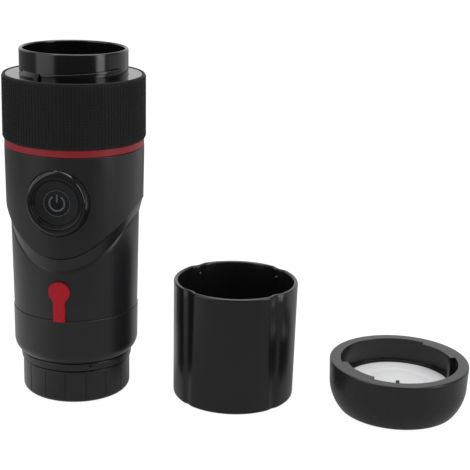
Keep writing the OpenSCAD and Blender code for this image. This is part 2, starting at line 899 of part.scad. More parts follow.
module port_cover() {
    r0 = lower_r(z_seam) + cover_in;
    z1 = z_port + cover_r + 1;
    r1 = lower_r(z1) + cover_in;
    color("#c11d24")
        difference() {
            union() {
                intersection() {
                    revolve([[r0, z_seam], [r0 + cover_t, z_seam], [r1 + cover_t, z1], [r1, z1]]);
                    on_front(z_port)
                        linear_extrude(height = far)
                            cover_outline();
                    translate([-far, -far, z_knuckle])
                        cube([2 * far, far, far]);
                }
                on_front(z_port)
                    difference() {
                        translate([0, 0, d_port - plug_l + cover_in])
                            cylinder(r = plug_r, h = plug_l + cover_t / 2);
                        translate([0, 0, d_port - plug_l])
                            cylinder(r = plug_r - plug_wall, h = plug_l);
                    }
            }
            translate([-strap_w, -d_knuckle, z_knuckle])
                rotate([0, 90, 0])
                    cylinder(r = knuckle_r + knuckle_gap, h = 2 * strap_w);
        }
}

module pump_bracket() {
    plate_r = flange_spigot_r - slip_gap;
    cradle_r = pump_d / 2 + slip_gap;
    color("#55575a")
        difference() {
            union() {
                translate([0, 0, z_deck_top])
                    cylinder(r = plate_r, h = bracket_t);
                tube(cradle_r + cradle_wall, cradle_r, z_deck_top, z_bracket + cradle_h);
            }
            translate([0, 0, z_deck_top - 1])
                cylinder(r = nozzle_r + slip_gap, h = far);
            around(screw_count, 90)
                translate([screw_ring_r, 0, 0])
                    cylinder(r = screw_r + slip_gap / 2, h = far);
            translate([-far / 2, 0, z_bracket + cradle_h / 2])
                cube([far, far, far]);
        }
}

module pump_head() {
    cap_h = 3;
    color("#2f3134")
        difference() {
            union() {
                translate([0, 0, z_bracket])
                    cylinder(d = pump_d - 2, h = pump_h - cap_h);
                translate([0, 0, z_pump - cap_h])
                    cylinder(d = pump_d, h = cap_h);
                translate([0, 0, z_bracket])
                    cylinder(d = pump_d, h = cap_h);
                translate([0, 0, z_deck_top - nozzle_dip])
                    cylinder(r = nozzle_r, h = bracket_t + nozzle_dip + 1);
                hose_place()
                    translate([0, 0, z_pump - 1])
                        cylinder(r = barb_r, h = barb_l);
            }
            translate([0, 0, z_deck_top - nozzle_dip - 1])
                cylinder(r = screw_r - slip_gap, h = bracket_t + nozzle_dip + 4);
            hose_place()
                translate([0, 0, z_pump - cap_h])
                    cylinder(r = barb_r / 2, h = far);
        }
}

module pump_motor() {
    cap_h = 4;
    color("#8f9194") {
        revolve([[0, z_pump], [motor_d / 2, z_pump], [motor_d / 2, z_motor - 1],
            [motor_d / 2 - 1, z_motor], [0, z_motor]]);
        translate([0, 0, z_motor - 1])
            cylinder(d = motor_d / 2, h = cap_h);
        for (x = [-1, 1])
            translate([x * motor_d / 3 - 1, -0.4, z_motor - 1])
                cube([2, 0.8, 6]);
    }
}

module water_hose() {
    color("#d9dad5")
        hose_place()
            difference() {
                translate([0, 0, z_pump + 0.5])
                    cylinder(r = hose_r, h = z_heater - z_pump - 1);
                cylinder(r = hose_r - hose_wall, h = far);
            }
}

module nozzle_seal() {
    color("#b9b9b4")
        tube(nozzle_r - 0.2, screw_r, z_deck_top - nozzle_dip - slip_gap, z_deck_top - nozzle_dip);
}

module piercing_plate() {
    spike_ring_r = 9;
    z = z_deck - pierce_t;
    color("#c2c4c6")
        difference() {
            union() {
                translate([0, 0, z])
                    cylinder(r = seal_in_r - slip_gap, h = pierce_t);
                around(3, 30)
                    translate([spike_ring_r, 0, z - spike_l])
                        cylinder(r1 = 0.2, r2 = 1.5, h = spike_l + pierce_t / 2);
            }
            around(6)
                translate([spike_ring_r - 3.5, 0, z - 1])
                    cylinder(r = 0.6, h = pierce_t + 2);
        }
}

module brew_seal() {
    color("#c9bfae")
        tube(throat_r - slip_gap, seal_in_r, z_deck - seal_t, z_deck);
}

module flange_screws() {
    z = holder_h + run_gap;
    color("#b7b8ba")
        around(screw_count, 90)
            translate([screw_ring_r, 0, z]) {
                cylinder(r = screw_head_r, h = screw_head_h);
                cylinder(r = screw_r, h = z_bracket - z);
            }
}

module capsule_holder() {
    recess_r = holder_r - foot_round - 3.5;
    color("#2a2a2c")
        difference() {
            union() {
                revolve(concat([[0, 0]], arc([holder_r - foot_round, foot_round], foot_round, -90, 0, 8),
                    [[holder_r, holder_top], [holder_neck_r, holder_top], [holder_neck_r, z_lip],
                    [0, z_lip]]));
                around(lug_count)
                    sector([[holder_neck_r - 1, lug_z], [lug_r, lug_z], [lug_r, lug_z + lug_h],
                        [holder_neck_r - 1, lug_z + lug_h]], -lug_angle / 2, lug_angle);
            }
            around(groove_count, bearing(2.3))
                translate([holder_r, 0, -1])
                    cylinder(r = groove_r, h = holder_top);
            revolve([[0, z_floor], [capsule_tip_d / 2, z_floor], [capsule_d / 2, z_lip - rim_seat],
                [rim_r, z_lip - rim_seat], [rim_r, z_lip + 1], [0, z_lip + 1]]);
            translate([0, 0, -1])
                cylinder(r = recess_r, h = foot_recess + 1);
            cylinder(d = outlet_d, h = far);
        }
}

module outlet_sieve() {
    hole_ring_r = outlet_d / 2 - 1.4;
    color("#c2c4c6")
        difference() {
            translate([0, 0, z_floor])
                cylinder(r = capsule_tip_d / 2 - slip_gap, h = sieve_t);
            around(6)
                translate([hole_ring_r, 0, z_floor - 1])
                    cylinder(r = 0.6, h = sieve_t + 2);
        }
}

// Outline of the cup, drawn in by an even inset: round lobes with blended hollow flutes
module cup_outline(inset) {
    difference() {
        circle(cup_lobe_r - inset);
        for (i = [0:flute_count - 1])
            rotate(45 + 360 * i / flute_count)
                flute_cut(inset);
    }
}

module flute_cut(inset) {
    c = blend_c * [cos(blend_a), sin(blend_a)];
    edge = 2 * cup_lobe_r * [cos(blend_a), sin(blend_a)];
    difference() {
        polygon([[c[0], -c[1]], [flute_c, 0], c, edge, [edge[0], -edge[1]]]);
        for (side = [-1, 1])
            translate([c[0], side * c[1]])
                circle(blend_r - inset);
    }
    translate([flute_c, 0])
        circle(flute_r + inset);
}

module cup() {
    low_r = cup_lobe_r - cup_draft;
    edge = 0.6;
    color("#0d0d0e")
        translate([cup_x, cup_y, 0]) {
            difference() {
                intersection() {
                    linear_extrude(height = cup_h)
                        cup_outline(0);
                    revolve(concat([[0, 0]], arc([low_r - cup_round, cup_round], cup_round, -90, 0, 5),
                        [[cup_lobe_r, cup_h - edge], [cup_lobe_r - edge, cup_h], [0, cup_h]]));
                }
                intersection() {
                    translate([0, 0, cup_wall])
                        linear_extrude(height = cup_h)
                            cup_outline(cup_wall);
                    revolve([[0, 0], [low_r - cup_wall, 0], [cup_lobe_r - cup_wall, cup_h],
                        [cup_lobe_r - cup_wall, cup_h + 1], [0, cup_h + 1]]);
                }
            }
            around(flute_count, 45)
                translate([cup_flute_r - cup_wall + nub_r - nub_reach, 0, cup_h - nub_drop])
                    sphere(r = nub_r);
        }
}

module lid_shell() {
    dome_c = [lid_r - lid_draft - dome_r, dome_h];
    dome_end = asin((dome_h - dome_edge) / dome_r);
    dome_line = arc(dome_c, dome_r, -dome_end, 0, 10);
    color("#232325")
        translate([lid_x, lid_y, 0]) {
            difference() {
                revolve(concat([[0, 0], [dome_line[0][0] - base_bevel, 0]], dome_line,
                    [[lid_r, lid_h - lid_edge], [lid_r - lid_edge, lid_h], [0, lid_h]]));
                translate([0, 0, z_disc])
                    cylinder(r = lid_bore_r, h = lid_h);
                translate([0, 0, z_disc - disc_t])
                    cylinder(r = disc_r + slip_gap, h = lid_h);
                translate([0, 0, z_disc - disc_t - vent_foot])
                    cylinder(d = 2 * vent_d + 2 * slip_gap, h = lid_h);
            }
            around(tab_count)
                sector([[tab_r, lid_h - tab_t], [lid_bore_r + 0.5, lid_h - tab_t],
                    [lid_bore_r + 0.5, lid_h], [tab_r, lid_h]], tab_from, tab_angle);
        }
}

module lid_seal() {
    color("#e2e2e0")
        translate([lid_x, lid_y, 0])
            difference() {
                translate([0, 0, z_disc - disc_t])
                    cylinder(r = disc_r, h = disc_t);
                cylinder(d = vent_d + 2 * slip_gap, h = far);
                for (r = [0.42, 0.72])
                    tube(r * disc_r + 1, r * disc_r - 1, z_disc - 0.5, z_disc + 1);
            }
}

module vent_pin() {
    z0 = z_disc - disc_t - vent_foot;
    color("#111112")
        translate([lid_x, lid_y, 0])
            revolve([[0, z0], [vent_d, z0], [vent_d, z0 + vent_foot], [vent_d / 2, z0 + vent_foot],
                [vent_d / 2, z_disc + vent_rise - 0.3], [vent_d / 2 - 0.3, z_disc + vent_rise],
                [0, z_disc + vent_rise]]);
}

grip_sleeve();
accent_ring();
upper_shell();
lower_shell();
base_collar();
brew_flange();
top_plate();
tank_neck();
tank_gasket();
water_tank();
heater_plate();
thermostat();
button_bezel();
power_button();
button_lens();
switch_plunger();
tact_switch();
control_board();
board_screws();
dc_jack();
supply_leads();
cover_root();
port_cover();
pump_bracket();
pump_head();
pump_motor();
water_hose();
nozzle_seal();
piercing_plate();
brew_seal();
flange_screws();
capsule_holder();
outlet_sieve();
cup();
lid_shell();
lid_seal();
vent_pin();
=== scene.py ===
from math import acos, asin, atan2, cos, hypot, pi, radians, sin, sqrt, tan
import bpy
import bmesh
from mathutils import Matrix, Vector


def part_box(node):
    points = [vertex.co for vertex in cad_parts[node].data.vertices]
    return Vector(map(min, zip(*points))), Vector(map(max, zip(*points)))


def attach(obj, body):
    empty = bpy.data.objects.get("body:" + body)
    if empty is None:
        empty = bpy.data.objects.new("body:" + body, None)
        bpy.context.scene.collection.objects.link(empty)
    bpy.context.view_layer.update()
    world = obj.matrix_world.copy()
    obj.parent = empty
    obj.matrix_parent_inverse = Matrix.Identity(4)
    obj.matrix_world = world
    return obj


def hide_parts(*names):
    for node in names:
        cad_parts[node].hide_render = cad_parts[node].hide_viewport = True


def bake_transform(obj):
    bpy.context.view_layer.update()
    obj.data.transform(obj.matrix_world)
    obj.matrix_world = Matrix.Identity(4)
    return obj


mm = 0.001
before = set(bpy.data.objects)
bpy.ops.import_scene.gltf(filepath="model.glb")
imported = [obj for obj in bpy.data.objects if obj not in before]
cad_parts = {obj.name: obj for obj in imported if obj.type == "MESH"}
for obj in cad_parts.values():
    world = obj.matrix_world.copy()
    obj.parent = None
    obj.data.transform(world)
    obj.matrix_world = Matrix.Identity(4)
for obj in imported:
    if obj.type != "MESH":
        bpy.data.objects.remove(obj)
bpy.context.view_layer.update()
print("frame loaded,", len(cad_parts), "nodes")


# a node's low and high corners in mm
def span(node):
    low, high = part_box(node)
    return low / mm, high / mm


def linear(hexColour):
    channels = [int(hexColour[i:i + 2], 16) / 255 for i in (1, 3, 5)]
    return [c / 12.92 if c <= 0.04045 else ((c + 0.055) / 1.055) ** 2.4 for c in channels] + [1]


# a node as a value stands for its first output; a socket is linked, any other value is set
def addNode(tree, kind, settings=None, inputs=None):
    node = tree.nodes.new(kind)
    for key, value in (settings or {}).items():
        setattr(node, key, value)
    for key, value in (inputs or {}).items():
        if isinstance(value, bpy.types.Node):
            value = value.outputs[0]
        if isinstance(value, bpy.types.NodeSocket):
            tree.links.new(value, node.inputs[key])
        else:
            node.inputs[key].default_value = value
    return node


def newFinish(name, sockets):
    material = bpy.data.materials.new(name)
    material.use_nodes = True
    tree = material.node_tree
    shader = tree.nodes["Principled BSDF"]
    for key, value in sockets.items():
        shader.inputs[key].default_value = value
    place = addNode(tree, "ShaderNodeTexCoord").outputs["Object"]
    return material, tree, shader, place


noiseLow, noiseHigh = 0.3, 0.7  # nearly all of a noise lies between these


# two tones from a broad noise, roughness and relief from a fine one, relief in mm
def wireFinish(tree, shader, broad, fine, tones, roughness, relief):
    tone = addNode(tree, "ShaderNodeMix", {"data_type": "RGBA"},
        {"Factor": broad, 6: linear(tones[0]), 7: linear(tones[1])})
    rough = addNode(tree, "ShaderNodeMapRange", inputs={
        "Value": fine, "From Min": noiseLow, "From Max": noiseHigh,
        "To Min": roughness[0], "To Max": roughness[1]})
    bump = addNode(tree, "ShaderNodeBump", inputs={"Height": fine, "Distance": relief * mm})
    tree.links.new(tone.outputs[2], shader.inputs["Base Color"])
    tree.links.new(rough.outputs["Result"], shader.inputs["Roughness"])
    tree.links.new(bump.outputs["Normal"], shader.inputs["Normal"])


# slow flow marks in the tone, with a fine grain in roughness and relief, sizes in mm
def mouldedFinish(name, tones, roughness, grain, relief, sockets=None, ior=1.52, flow=14):
    material, tree, shader, place = newFinish(name, {"IOR": ior, **(sockets or {})})
    slow = addNode(tree, "ShaderNodeTexNoise",
        inputs={"Vector": place, "Scale": 1 / (flow * mm), "Detail": 2})
    fine = addNode(tree, "ShaderNodeTexNoise",
        inputs={"Vector": place, "Scale": 1 / (grain * mm), "Detail": 3})
    wireFinish(tree, shader, slow, fine, tones, roughness, relief)
    return material


# metal with tool marks that are stretched along one axis, sizes in mm
def workedMetal(name, tones, roughness, mark, stretch, relief):
    material, tree, shader, place = newFinish(name, {"Metallic": 1})
    turned = addNode(tree, "ShaderNodeMapping", inputs={"Vector": place, "Scale": stretch})
    marks = addNode(tree, "ShaderNodeTexNoise",
        inputs={"Vector": turned, "Scale": 1 / (mark * mm), "Detail": 4})
    wireFinish(tree, shader, marks, marks, tones, roughness, relief)
    return material


# ABS moulded against a spark-eroded tool: satin black, soft wide reflections.
# The real grain is about 0.05 mm, drawn at 0.4 mm so that it shows.
satinAbs = mouldedFinish("satinBlackAbs", ("#141416", "#19191b"), (0.28, 0.35), 0.4, 0.003)
# The lid's ABS reflects less, in even soft patches, its grain drawn at 0.5 mm
lidAbs = mouldedFinish("lowSheenAbs", ("#1b1b1c", "#202021"), (0.22, 0.28), 0.5, 0.002,
    {"Specular IOR Level": 0.34})
# The cup comes out of a finer tool: between satin and gloss
cupAbs = mouldedFinish("fineSatinAbs", ("#101011", "#131314"), (0.25, 0.27), 0.4, 0.0003)
# Bezel: the same ABS, lightly polished, with narrow highlights
bezelAbs = mouldedFinish("softPolishedAbs", ("#0d0d0e", "#101011"), (0.12, 0.15), 0.4, 0.0008)
# ABS from a polished tool: piano black, sharp reflections over faint sink waves
glossAbs = mouldedFinish("polishedBlackAbs", ("#060607", "#09090a"), (0.05, 0.09), 5, 0.004)
# The neck leaves a worn tool: still gloss, with softer edges to its reflections
neckAbs = mouldedFinish("softGlossAbs", ("#070708", "#0a0a0b"), (0.15, 0.19), 5, 0.002)
# Button cap, polished and then finely blasted: a dim, even sheen
buttonAbs = mouldedFinish("blastedBlackAbs", ("#0f0f10", "#131314"), (0.26, 0.32), 0.4, 0.0008)
# Smoked acrylic over the lamp, which shows bluish black
smokedAcrylic = mouldedFinish("smokedAcrylic", ("#0c0e10", "#101215"), (0.1, 0.14), 4, 0.0005, ior=1.49)
# Pad-printed lamp mask, a thin even grey ink
lampInk = mouldedFinish("lampMaskInk", ("#3a4045", "#44494e"), (0.4, 0.5), 0.6, 0.002, ior=1.5)
# Thermoplastic rubber sleeve: dull, dry black, with little shine
gripRubber = mouldedFinish("blackRubber", ("#191919", "#1d1d1d"), (0.58, 0.68), 0.5, 0.006,
    {"Specular IOR Level": 0.15}, ior=1.5)
# Dyed ABS ring, dark red with a soft gloss
redAbs = mouldedFinish("redDyedAbs", ("#74151a", "#80181e"), (0.34, 0.4), 0.6, 0.0008,
    {"Specular IOR Level": 0.3})
# Dyed silicone rubber: brighter red, slightly waxy
redSilicone = mouldedFinish("redSilicone", ("#8a0d19", "#940f1c"), (0.4, 0.5), 0.5, 0.002,
    {"Specular IOR Level": 0.18, "Subsurface Weight": 0.08, "Subsurface Scale": 0.0006}, ior=1.43)
# White silicone rubber of the seals: milky, soft highlights, a little dust in the tone
whiteSilicone = mouldedFinish("whiteSilicone", ("#c0c0c1", "#cacacb"), (0.42, 0.52), 0.6, 0.002,
    {"Subsurface Weight": 0.1, "Subsurface Scale": 0.001}, ior=1.43)
# Undyed silicone of the hose and gaskets: cloudy, lets light in deeper
clearSilicone = mouldedFinish("clearSilicone", ("#c9cbc6", "#d6d8d2"), (0.35, 0.45), 0.6, 0.006,
    {"Subsurface Weight": 0.2, "Subsurface Scale": 0.002}, ior=1.43)
# Glass-filled nylon of the frame parts inside, dull with short fibres in the tone
darkNylon = mouldedFinish("filledNylonBlack", ("#1d1e20", "#28292b"), (0.45, 0.6), 0.7, 0.01,
    ior=1.53, flow=2)
greyNylon = mouldedFinish("filledNylonGrey", ("#4d4f52", "#5b5d60"), (0.45, 0.6), 0.7, 0.01,
    ior=1.53, flow=2)
# Unfilled nylon, left its own cream colour
paleNylon = mouldedFinish("nylonNatural", ("#cfc9ba", "#dbd6c9"), (0.35, 0.5), 0.7, 0.006, ior=1.53, flow=4)
# Glass-epoxy laminate under green solder mask, with a faint weave
boardLaminate = mouldedFinish("solderMaskLaminate", ("#17492b", "#1f5a36"), (0.25, 0.35), 0.8, 0.01,
    ior=1.55, flow=3)
# Extruded PVC of the leads, a plain soft red
redPvc = mouldedFinish("redPvc", ("#9c2224", "#ad2a2b"), (0.35, 0.45), 0.6, 0.005, ior=1.53)
# Deep-drawn stainless steel: draw marks run up the wall
drawnSteel = workedMetal("drawnStainless", ("#8f9092", "#b4b5b7"), (0.22, 0.34), 0.6, (1, 1, 0.08), 0.004)
# Zinc-plated steel, slightly cloudy
zincSteel = workedMetal("zincPlatedSteel", ("#a3a5a8", "#bfc1c3"), (0.25, 0.4), 1.5, (1, 1, 1), 0.003)
# Die-cast aluminium, dull and cloudy
castAluminium = workedMetal("castAluminium", ("#8f9193", "#a8aaac"), (0.4, 0.55), 0.8, (1, 1, 1), 0.015)
print("finishes ready:", len(bpy.data.materials))


# corners are (across, up) or (across, up, fillet); each fillet gets a support point at both ends
def rounded(corners, closed=True, steps=5):
    points = []
    last = len(corners) - 1
    for i, (x, z, *edge) in enumerate(corners):
        here = Vector((x, z))
        if not edge or (not closed and i in (0, last)):
            points.append((x, z))
            continue
        fillet = edge[0]
        before = Vector(corners[i - 1][:2]) - here
        after = Vector(corners[(i + 1) % len(corners)][:2]) - here
        reach = 0.48 * min(before.length, after.length)  # fillets of one side don't meet
        before, after = before.normalized(), after.normalized()
        half = acos(max(-1, min(1, before.dot(after)))) / 2
        tangent = min(fillet / tan(half), reach)
        radius = tangent * tan(half)
        middle = here + (before + after).normalized() * radius / sin(half)
        start, end = here + before * tangent - middle, here + after * tangent - middle
        turn = atan2(start.x * end.y - start.y * end.x, start.dot(end))
        support = 0.12 * fillet
        points.append(tuple(middle + start + before * support))
        for k in range(steps + 1):
            points.append(tuple(middle + Matrix.Rotation(turn * k / steps, 2) @ start))
        points.append(tuple(middle + end + after * support))
    return points


# values from start to end, both included
def evenly(start, end, steps):
    return [start + (end - start) * k / steps for k in range(steps + 1)]


# points of an arc round (x, z), its angles from the first axis
def arcPoints(x, z, radius, start, end, steps):
    return [(x + radius * cos(t), z + radius * sin(t)) for t in evenly(start, end, steps)]


def firstFilleted(points, fillet):
    return [points[0] + (fillet,)] + points[1:]


# bearings run from the front, -Y, towards +X
def upright(x=0, y=0, turn=0):
    return lambda r, a, z: (x + r * sin(a + turn), y - r * cos(a + turn), z)


# a lathe axis that looks out of the front, at a height
def frontward(height):
    return lambda r, a, d: (r * cos(a), -d, height + r * sin(a))


def turns(count):
    return [2 * pi * i / count for i in range(count)]


# one section for each bearing; a part-turn gets its two end faces
def sweep(sectionAt, bearings, place=upright(), closed=True, around=True):
    loops = [[place(r, a, z) for r, z in sectionAt(a)] for a in bearings]
    count, total = len(loops[0]), len(loops)
    faces = []
    for i in range(total if around else total - 1):
        j = (i + 1) % total
        for k in range(count if closed else count - 1):
            n = (k + 1) % count
            faces.append((i * count + k, j * count + k, j * count + n, i * count + n))
    if not around:
        faces += [tuple(range(count)), tuple(range((total - 1) * count, total * count))]
    return [v for loop in loops for v in loop], faces


# one line all the way round
def lathe(line, place=upright(), count=192, closed=True):
    return sweep(lambda a: line, turns(count), place, closed)


# one line over a part-turn, in degrees
def arcPart(line, start, end, steps, place=upright()):
    bearings = [radians(a) for a in evenly(start, end, steps)]
    return sweep(lambda a: line, bearings, place, around=False)


def boxPart(low, high):
    verts = [(x, y, z) for x in (low[0], high[0]) for y in (low[1], high[1]) for z in (low[2], high[2])]
    faces = [(0, 1, 3, 2), (4, 6, 7, 5), (0, 4, 5, 1), (2, 3, 7, 6), (0, 2, 6, 4), (1, 5, 7, 3)]
    return verts, faces


# doubles merged, faces outward, edges over the angle left sharp
def dress(mesh, sharp=42):
    shape = bmesh.new()
    shape.from_mesh(mesh)
    bmesh.ops.remove_doubles(shape, verts=shape.verts, dist=1e-6)
    bmesh.ops.recalc_face_normals(shape, faces=shape.faces)
    for face in shape.faces:
        face.smooth = True
    for edge in shape.edges:
        edge.smooth = edge.calc_face_angle(0) < radians(sharp)
    shape.to_mesh(mesh)
    shape.free()


def addObject(name, data):
    thing = bpy.data.objects.new(name, data)
    bpy.context.scene.collection.objects.link(thing)
    return thing


def makePiece(name, parts, finish):
    verts, faces = [], []
    for partVerts, partFaces in parts:
        start = len(verts)
        verts += partVerts
        faces += [tuple(start + i for i in face) for face in partFaces]
    mesh = bpy.data.meshes.new(name)
    mesh.from_pydata([Vector(v) * mm for v in verts], [], faces)
    dress(mesh)
    mesh.materials.append(finish)
    return addObject(name, mesh)


# a plain mesh of the piece as its modifiers leave it
def bake(piece):
    shown = piece.evaluated_get(bpy.context.evaluated_depsgraph_get())
    mesh = bpy.data.meshes.new_from_object(shown)
    piece.modifiers.clear()
    old, piece.data = piece.data, mesh
    bpy.data.meshes.remove(old)


def cutOut(piece, cutter):
    change = piece.modifiers.new("cut", "BOOLEAN")
    change.object, change.operation, change.solver = cutter, "DIFFERENCE", "EXACT"
    finish = piece.data.materials[0]
    bake(piece)
    piece.data.materials.clear()
    piece.data.materials.append(finish)
    bpy.data.objects.remove(cutter)
    dress(piece.data)


def settle(piece, body, slot, *nodes):
    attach(piece, body)
    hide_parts(*nodes)


# rubber sleeve, with its rows of raised dots
grip = {"flare": 0.2, "seat": 37.1, "lip": 38.1, "lipDepth": 2.1, "lipEdge": 0.3, "lowEdge": 0.8,
    "topEdge": 1.2, "columns": 126, "rows": 20, "pitch": 1.7, "dot": 1.3, "dotTop": 0.95, "rise": 0.4,
    "sink": 0.1, "short": 0.02}
low, high = span("grip_sleeve")
gripBase, gripTop, gripR = low.z, high.z, high.x - grip["flare"]
skinLow, skinTop = gripR + grip["flare"] - grip["rise"], gripR - grip["rise"]
sleeveLine = rounded([(grip["seat"], gripBase), (skinLow, gripBase, grip["lowEdge"]),
    (skinTop, gripTop, grip["topEdge"]), (grip["lip"], gripTop, grip["lipEdge"]),
    (grip["lip"], gripTop - grip["lipDepth"]), (grip["seat"], gripTop - grip["lipDepth"])])
sleeve = makePiece("grip_sleeve_rubber", [lathe(sleeveLine)], gripRubber)
settle(sleeve, "machine", "grip_rubber", "grip_sleeve")

dotTree = bpy.data.node_groups.new("gripDots", "GeometryNodeTree")
dotTree.interface.new_socket("Geometry", in_out="OUTPUT", socket_type="NodeSocketGeometry")
firstRow = (gripBase + gripTop) / 2 - grip["pitch"] * (grip["rows"] - 1) / 2
dotLengths = {
    "Low radius": skinLow - grip["sink"], "Top radius": skinTop - grip["sink"], "First row": firstRow,
    "Pitch": grip["pitch"], "Dot foot": grip["dot"] / sqrt(2), "Dot crown": grip["dotTop"] / sqrt(2),
    "Dot height": grip["rise"] + grip["sink"] - grip["short"]}
dotSizes = {name: ("NodeSocketFloat", length * mm) for name, length in dotLengths.items()}
dotSizes["Columns"] = "NodeSocketInt", grip["columns"]
dotSizes["Rows"] = "NodeSocketInt", grip["rows"]
dotSizes["Finish"] = "NodeSocketMaterial", gripRubber
dotKeys = {name: dotTree.interface.new_socket(name, in_out="INPUT", socket_type=kind).identifier
    for name, (kind, value) in dotSizes.items()}
sizes = dotTree.nodes.new("NodeGroupInput").outputs
total = addNode(dotTree, "ShaderNodeMath", {"operation": "MULTIPLY"}, {0: sizes["Columns"], 1: sizes["Rows"]})
line = addNode(dotTree, "GeometryNodeMeshLine", inputs={"Count": total})
# each point's row and its turn round the sleeve come from its index
index = addNode(dotTree, "GeometryNodeInputIndex")
share = addNode(dotTree, "ShaderNodeMath", {"operation": "DIVIDE"}, {0: index, 1: sizes["Columns"]})
row = addNode(dotTree, "ShaderNodeMath", {"operation": "FLOOR"}, {0: share})
turn = addNode(dotTree, "ShaderNodeMath", {"operation": "FRACT"}, {0: share})
angle = addNode(dotTree, "ShaderNodeMath", {"operation": "MULTIPLY"}, {0: turn, 1: 2 * pi})
lastRow = addNode(dotTree, "ShaderNodeMath", {"operation": "SUBTRACT"}, {0: sizes["Rows"], 1: 1})
radius = addNode(dotTree, "ShaderNodeMapRange", inputs={
    "Value": row, "From Max": lastRow, "To Min": sizes["Low radius"], "To Max": sizes["Top radius"]})
height = addNode(dotTree, "ShaderNodeMath", {"operation": "MULTIPLY_ADD"},
    {0: row, 1: sizes["Pitch"], 2: sizes["First row"]})
outward = addNode(dotTree, "ShaderNodeCombineXYZ", inputs={"Y": -1, "Z": 0})
swung = addNode(dotTree, "ShaderNodeVectorRotate", {"rotation_type": "Z_AXIS"},
    {"Vector": outward, "Angle": angle})
reach = addNode(dotTree, "ShaderNodeVectorMath", {"operation": "SCALE"}, {0: swung, "Scale": radius})
lift = addNode(dotTree, "ShaderNodeCombineXYZ", inputs={"Z": height})
spot = addNode(dotTree, "ShaderNodeVectorMath", {"operation": "ADD"}, {0: reach, 1: lift})
spots = addNode(dotTree, "GeometryNodeSetPosition", inputs={"Geometry": line, "Position": spot})
# a dot is a square stump that faces outwards
dot = addNode(dotTree, "GeometryNodeMeshCone", inputs={
    "Vertices": 4, "Radius Top": sizes["Dot crown"], "Radius Bottom": sizes["Dot foot"],
    "Depth": sizes["Dot height"]})
squared = addNode(dotTree, "GeometryNodeTransform", inputs={"Geometry": dot, "Rotation": (0, 0, pi / 4)})
facing = addNode(dotTree, "ShaderNodeCombineXYZ", inputs={"X": pi / 2, "Z": angle})
facingTurn = addNode(dotTree, "FunctionNodeEulerToRotation", inputs={0: facing})
copies = addNode(dotTree, "GeometryNodeInstanceOnPoints",
    inputs={"Points": spots, "Instance": squared, "Rotation": facingTurn})
solidDots = addNode(dotTree, "GeometryNodeRealizeInstances", inputs={"Geometry": copies})
painted = addNode(dotTree, "GeometryNodeSetMaterial",
    inputs={"Geometry": solidDots, "Material": sizes["Finish"]})
addNode(dotTree, "NodeGroupOutput", inputs={"Geometry": painted})
dots = makePiece("grip_dots", [([], [])], gripRubber)
dotMaker = dots.modifiers.new("dots", "NODES")
dotMaker.node_group = dotTree
for name, (kind, value) in dotSizes.items():
    dotMaker[dotKeys[name]] = value
bake(dots)
dress(dots.data, sharp=30)
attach(dots, "machine")
print("grip done,", len(dots.data.polygons), "faces in its dots")

# red ring under the grip
ring = {"seat": 37.1, "edge": 0.35}
low, high = span("accent_ring")
ringBase = low.z
ringLine = rounded([(ring["seat"], low.z), (high.x, low.z, ring["edge"]), (high.x, high.z, ring["edge"]),
    (ring["seat"], high.z)])
accent = makePiece("accent_ring_red", [lathe(ringLine)], redAbs)
settle(accent, "machine", "accent_red", "accent_ring")

# two shells that meet along a saddle line; under it a bevelled shoulder, which starts inside
# the upper shell's lip and ends in a fine groove and step
shells = {"wall": 2, "saddleRise": 26.8, "upperLow": 38.7, "upperDraft": 0.6, "lowerLow": 35.7,
    "lowerDraft": 0.9, "shoulder": 7.4, "shoulderIn": 34.6, "gap": 0.5, "topEdge": 0.3, "ringGap": 0.2,
    "lineEdge": 0.3, "lip": 0.5, "step": 0.12, "stepEdge": 0.15, "stepDrop": 0.3, "groove": 0.15,
    "grooveEdge": 0.1, "seamGap": 0.1, "seamEdge": 0.3, "columns": 288, "rows": 14}
saddleLow = span("upper_shell")[0].z
saddleTop = saddleLow + shells["saddleRise"]
seamZ = span("lower_shell")[0].z
wallStart = 7  # a section's first fillet ends at this point, and its wall starts there


def upperR(z):
    return shells["upperLow"] + shells["upperDraft"] * (z - saddleLow) / (ringBase - saddleLow)


def lowerR(z):
    return shells["lowerLow"] + shells["lowerDraft"] * (z - seamZ) / (saddleTop - seamZ)


def saddleZ(a):
    return saddleLow + shells["saddleRise"] * sin(a) ** 2


# the shoulder's lower line keeps its distance square to the saddle line
def shoulderZ(a):
    slope = shells["saddleRise"] * sin(2 * a) / shells["upperLow"]
    return saddleZ(a) - shells["shoulder"] * hypot(1, slope)


# rows put in between two neighbours of a section, so that a long wall has even faces
def withRows(points, after, rows):
    (r0, z0), (r1, z1) = points[after], points[after + 1]
    between = list(zip(evenly(r0, r1, rows), evenly(z0, z1, rows)))[1:-1]
    return points[:after + 1] + between + points[after + 1:]


def upperSection(a):
    low, top = saddleZ(a), ringBase - shells["ringGap"]
    points = rounded([(upperR(ringBase), top, shells["topEdge"]), (upperR(low), low, shells["lineEdge"]),
        (upperR(low) - shells["wall"], low), (upperR(ringBase) - shells["wall"], top)])
    return withRows(points, wallStart, shells["rows"])


def lowerSection(a):
    low, foot, top = seamZ + shells["seamGap"], shoulderZ(a), saddleZ(a) - shells["gap"]
    footR = lowerR(foot)
    points = rounded([
        (lowerR(seamZ), low, shells["seamEdge"]), (footR, foot - 2 * shells["stepDrop"]),
        (footR - shells["groove"], foot - shells["stepDrop"], shells["grooveEdge"]),
        (footR + shells["step"], foot, shells["stepEdge"]),
        (upperR(top) - shells["lip"], top, shells["lineEdge"]), (shells["shoulderIn"], top),
        (lowerR(seamZ) - shells["wall"], low)])
    return withRows(points, wallStart, shells["rows"])


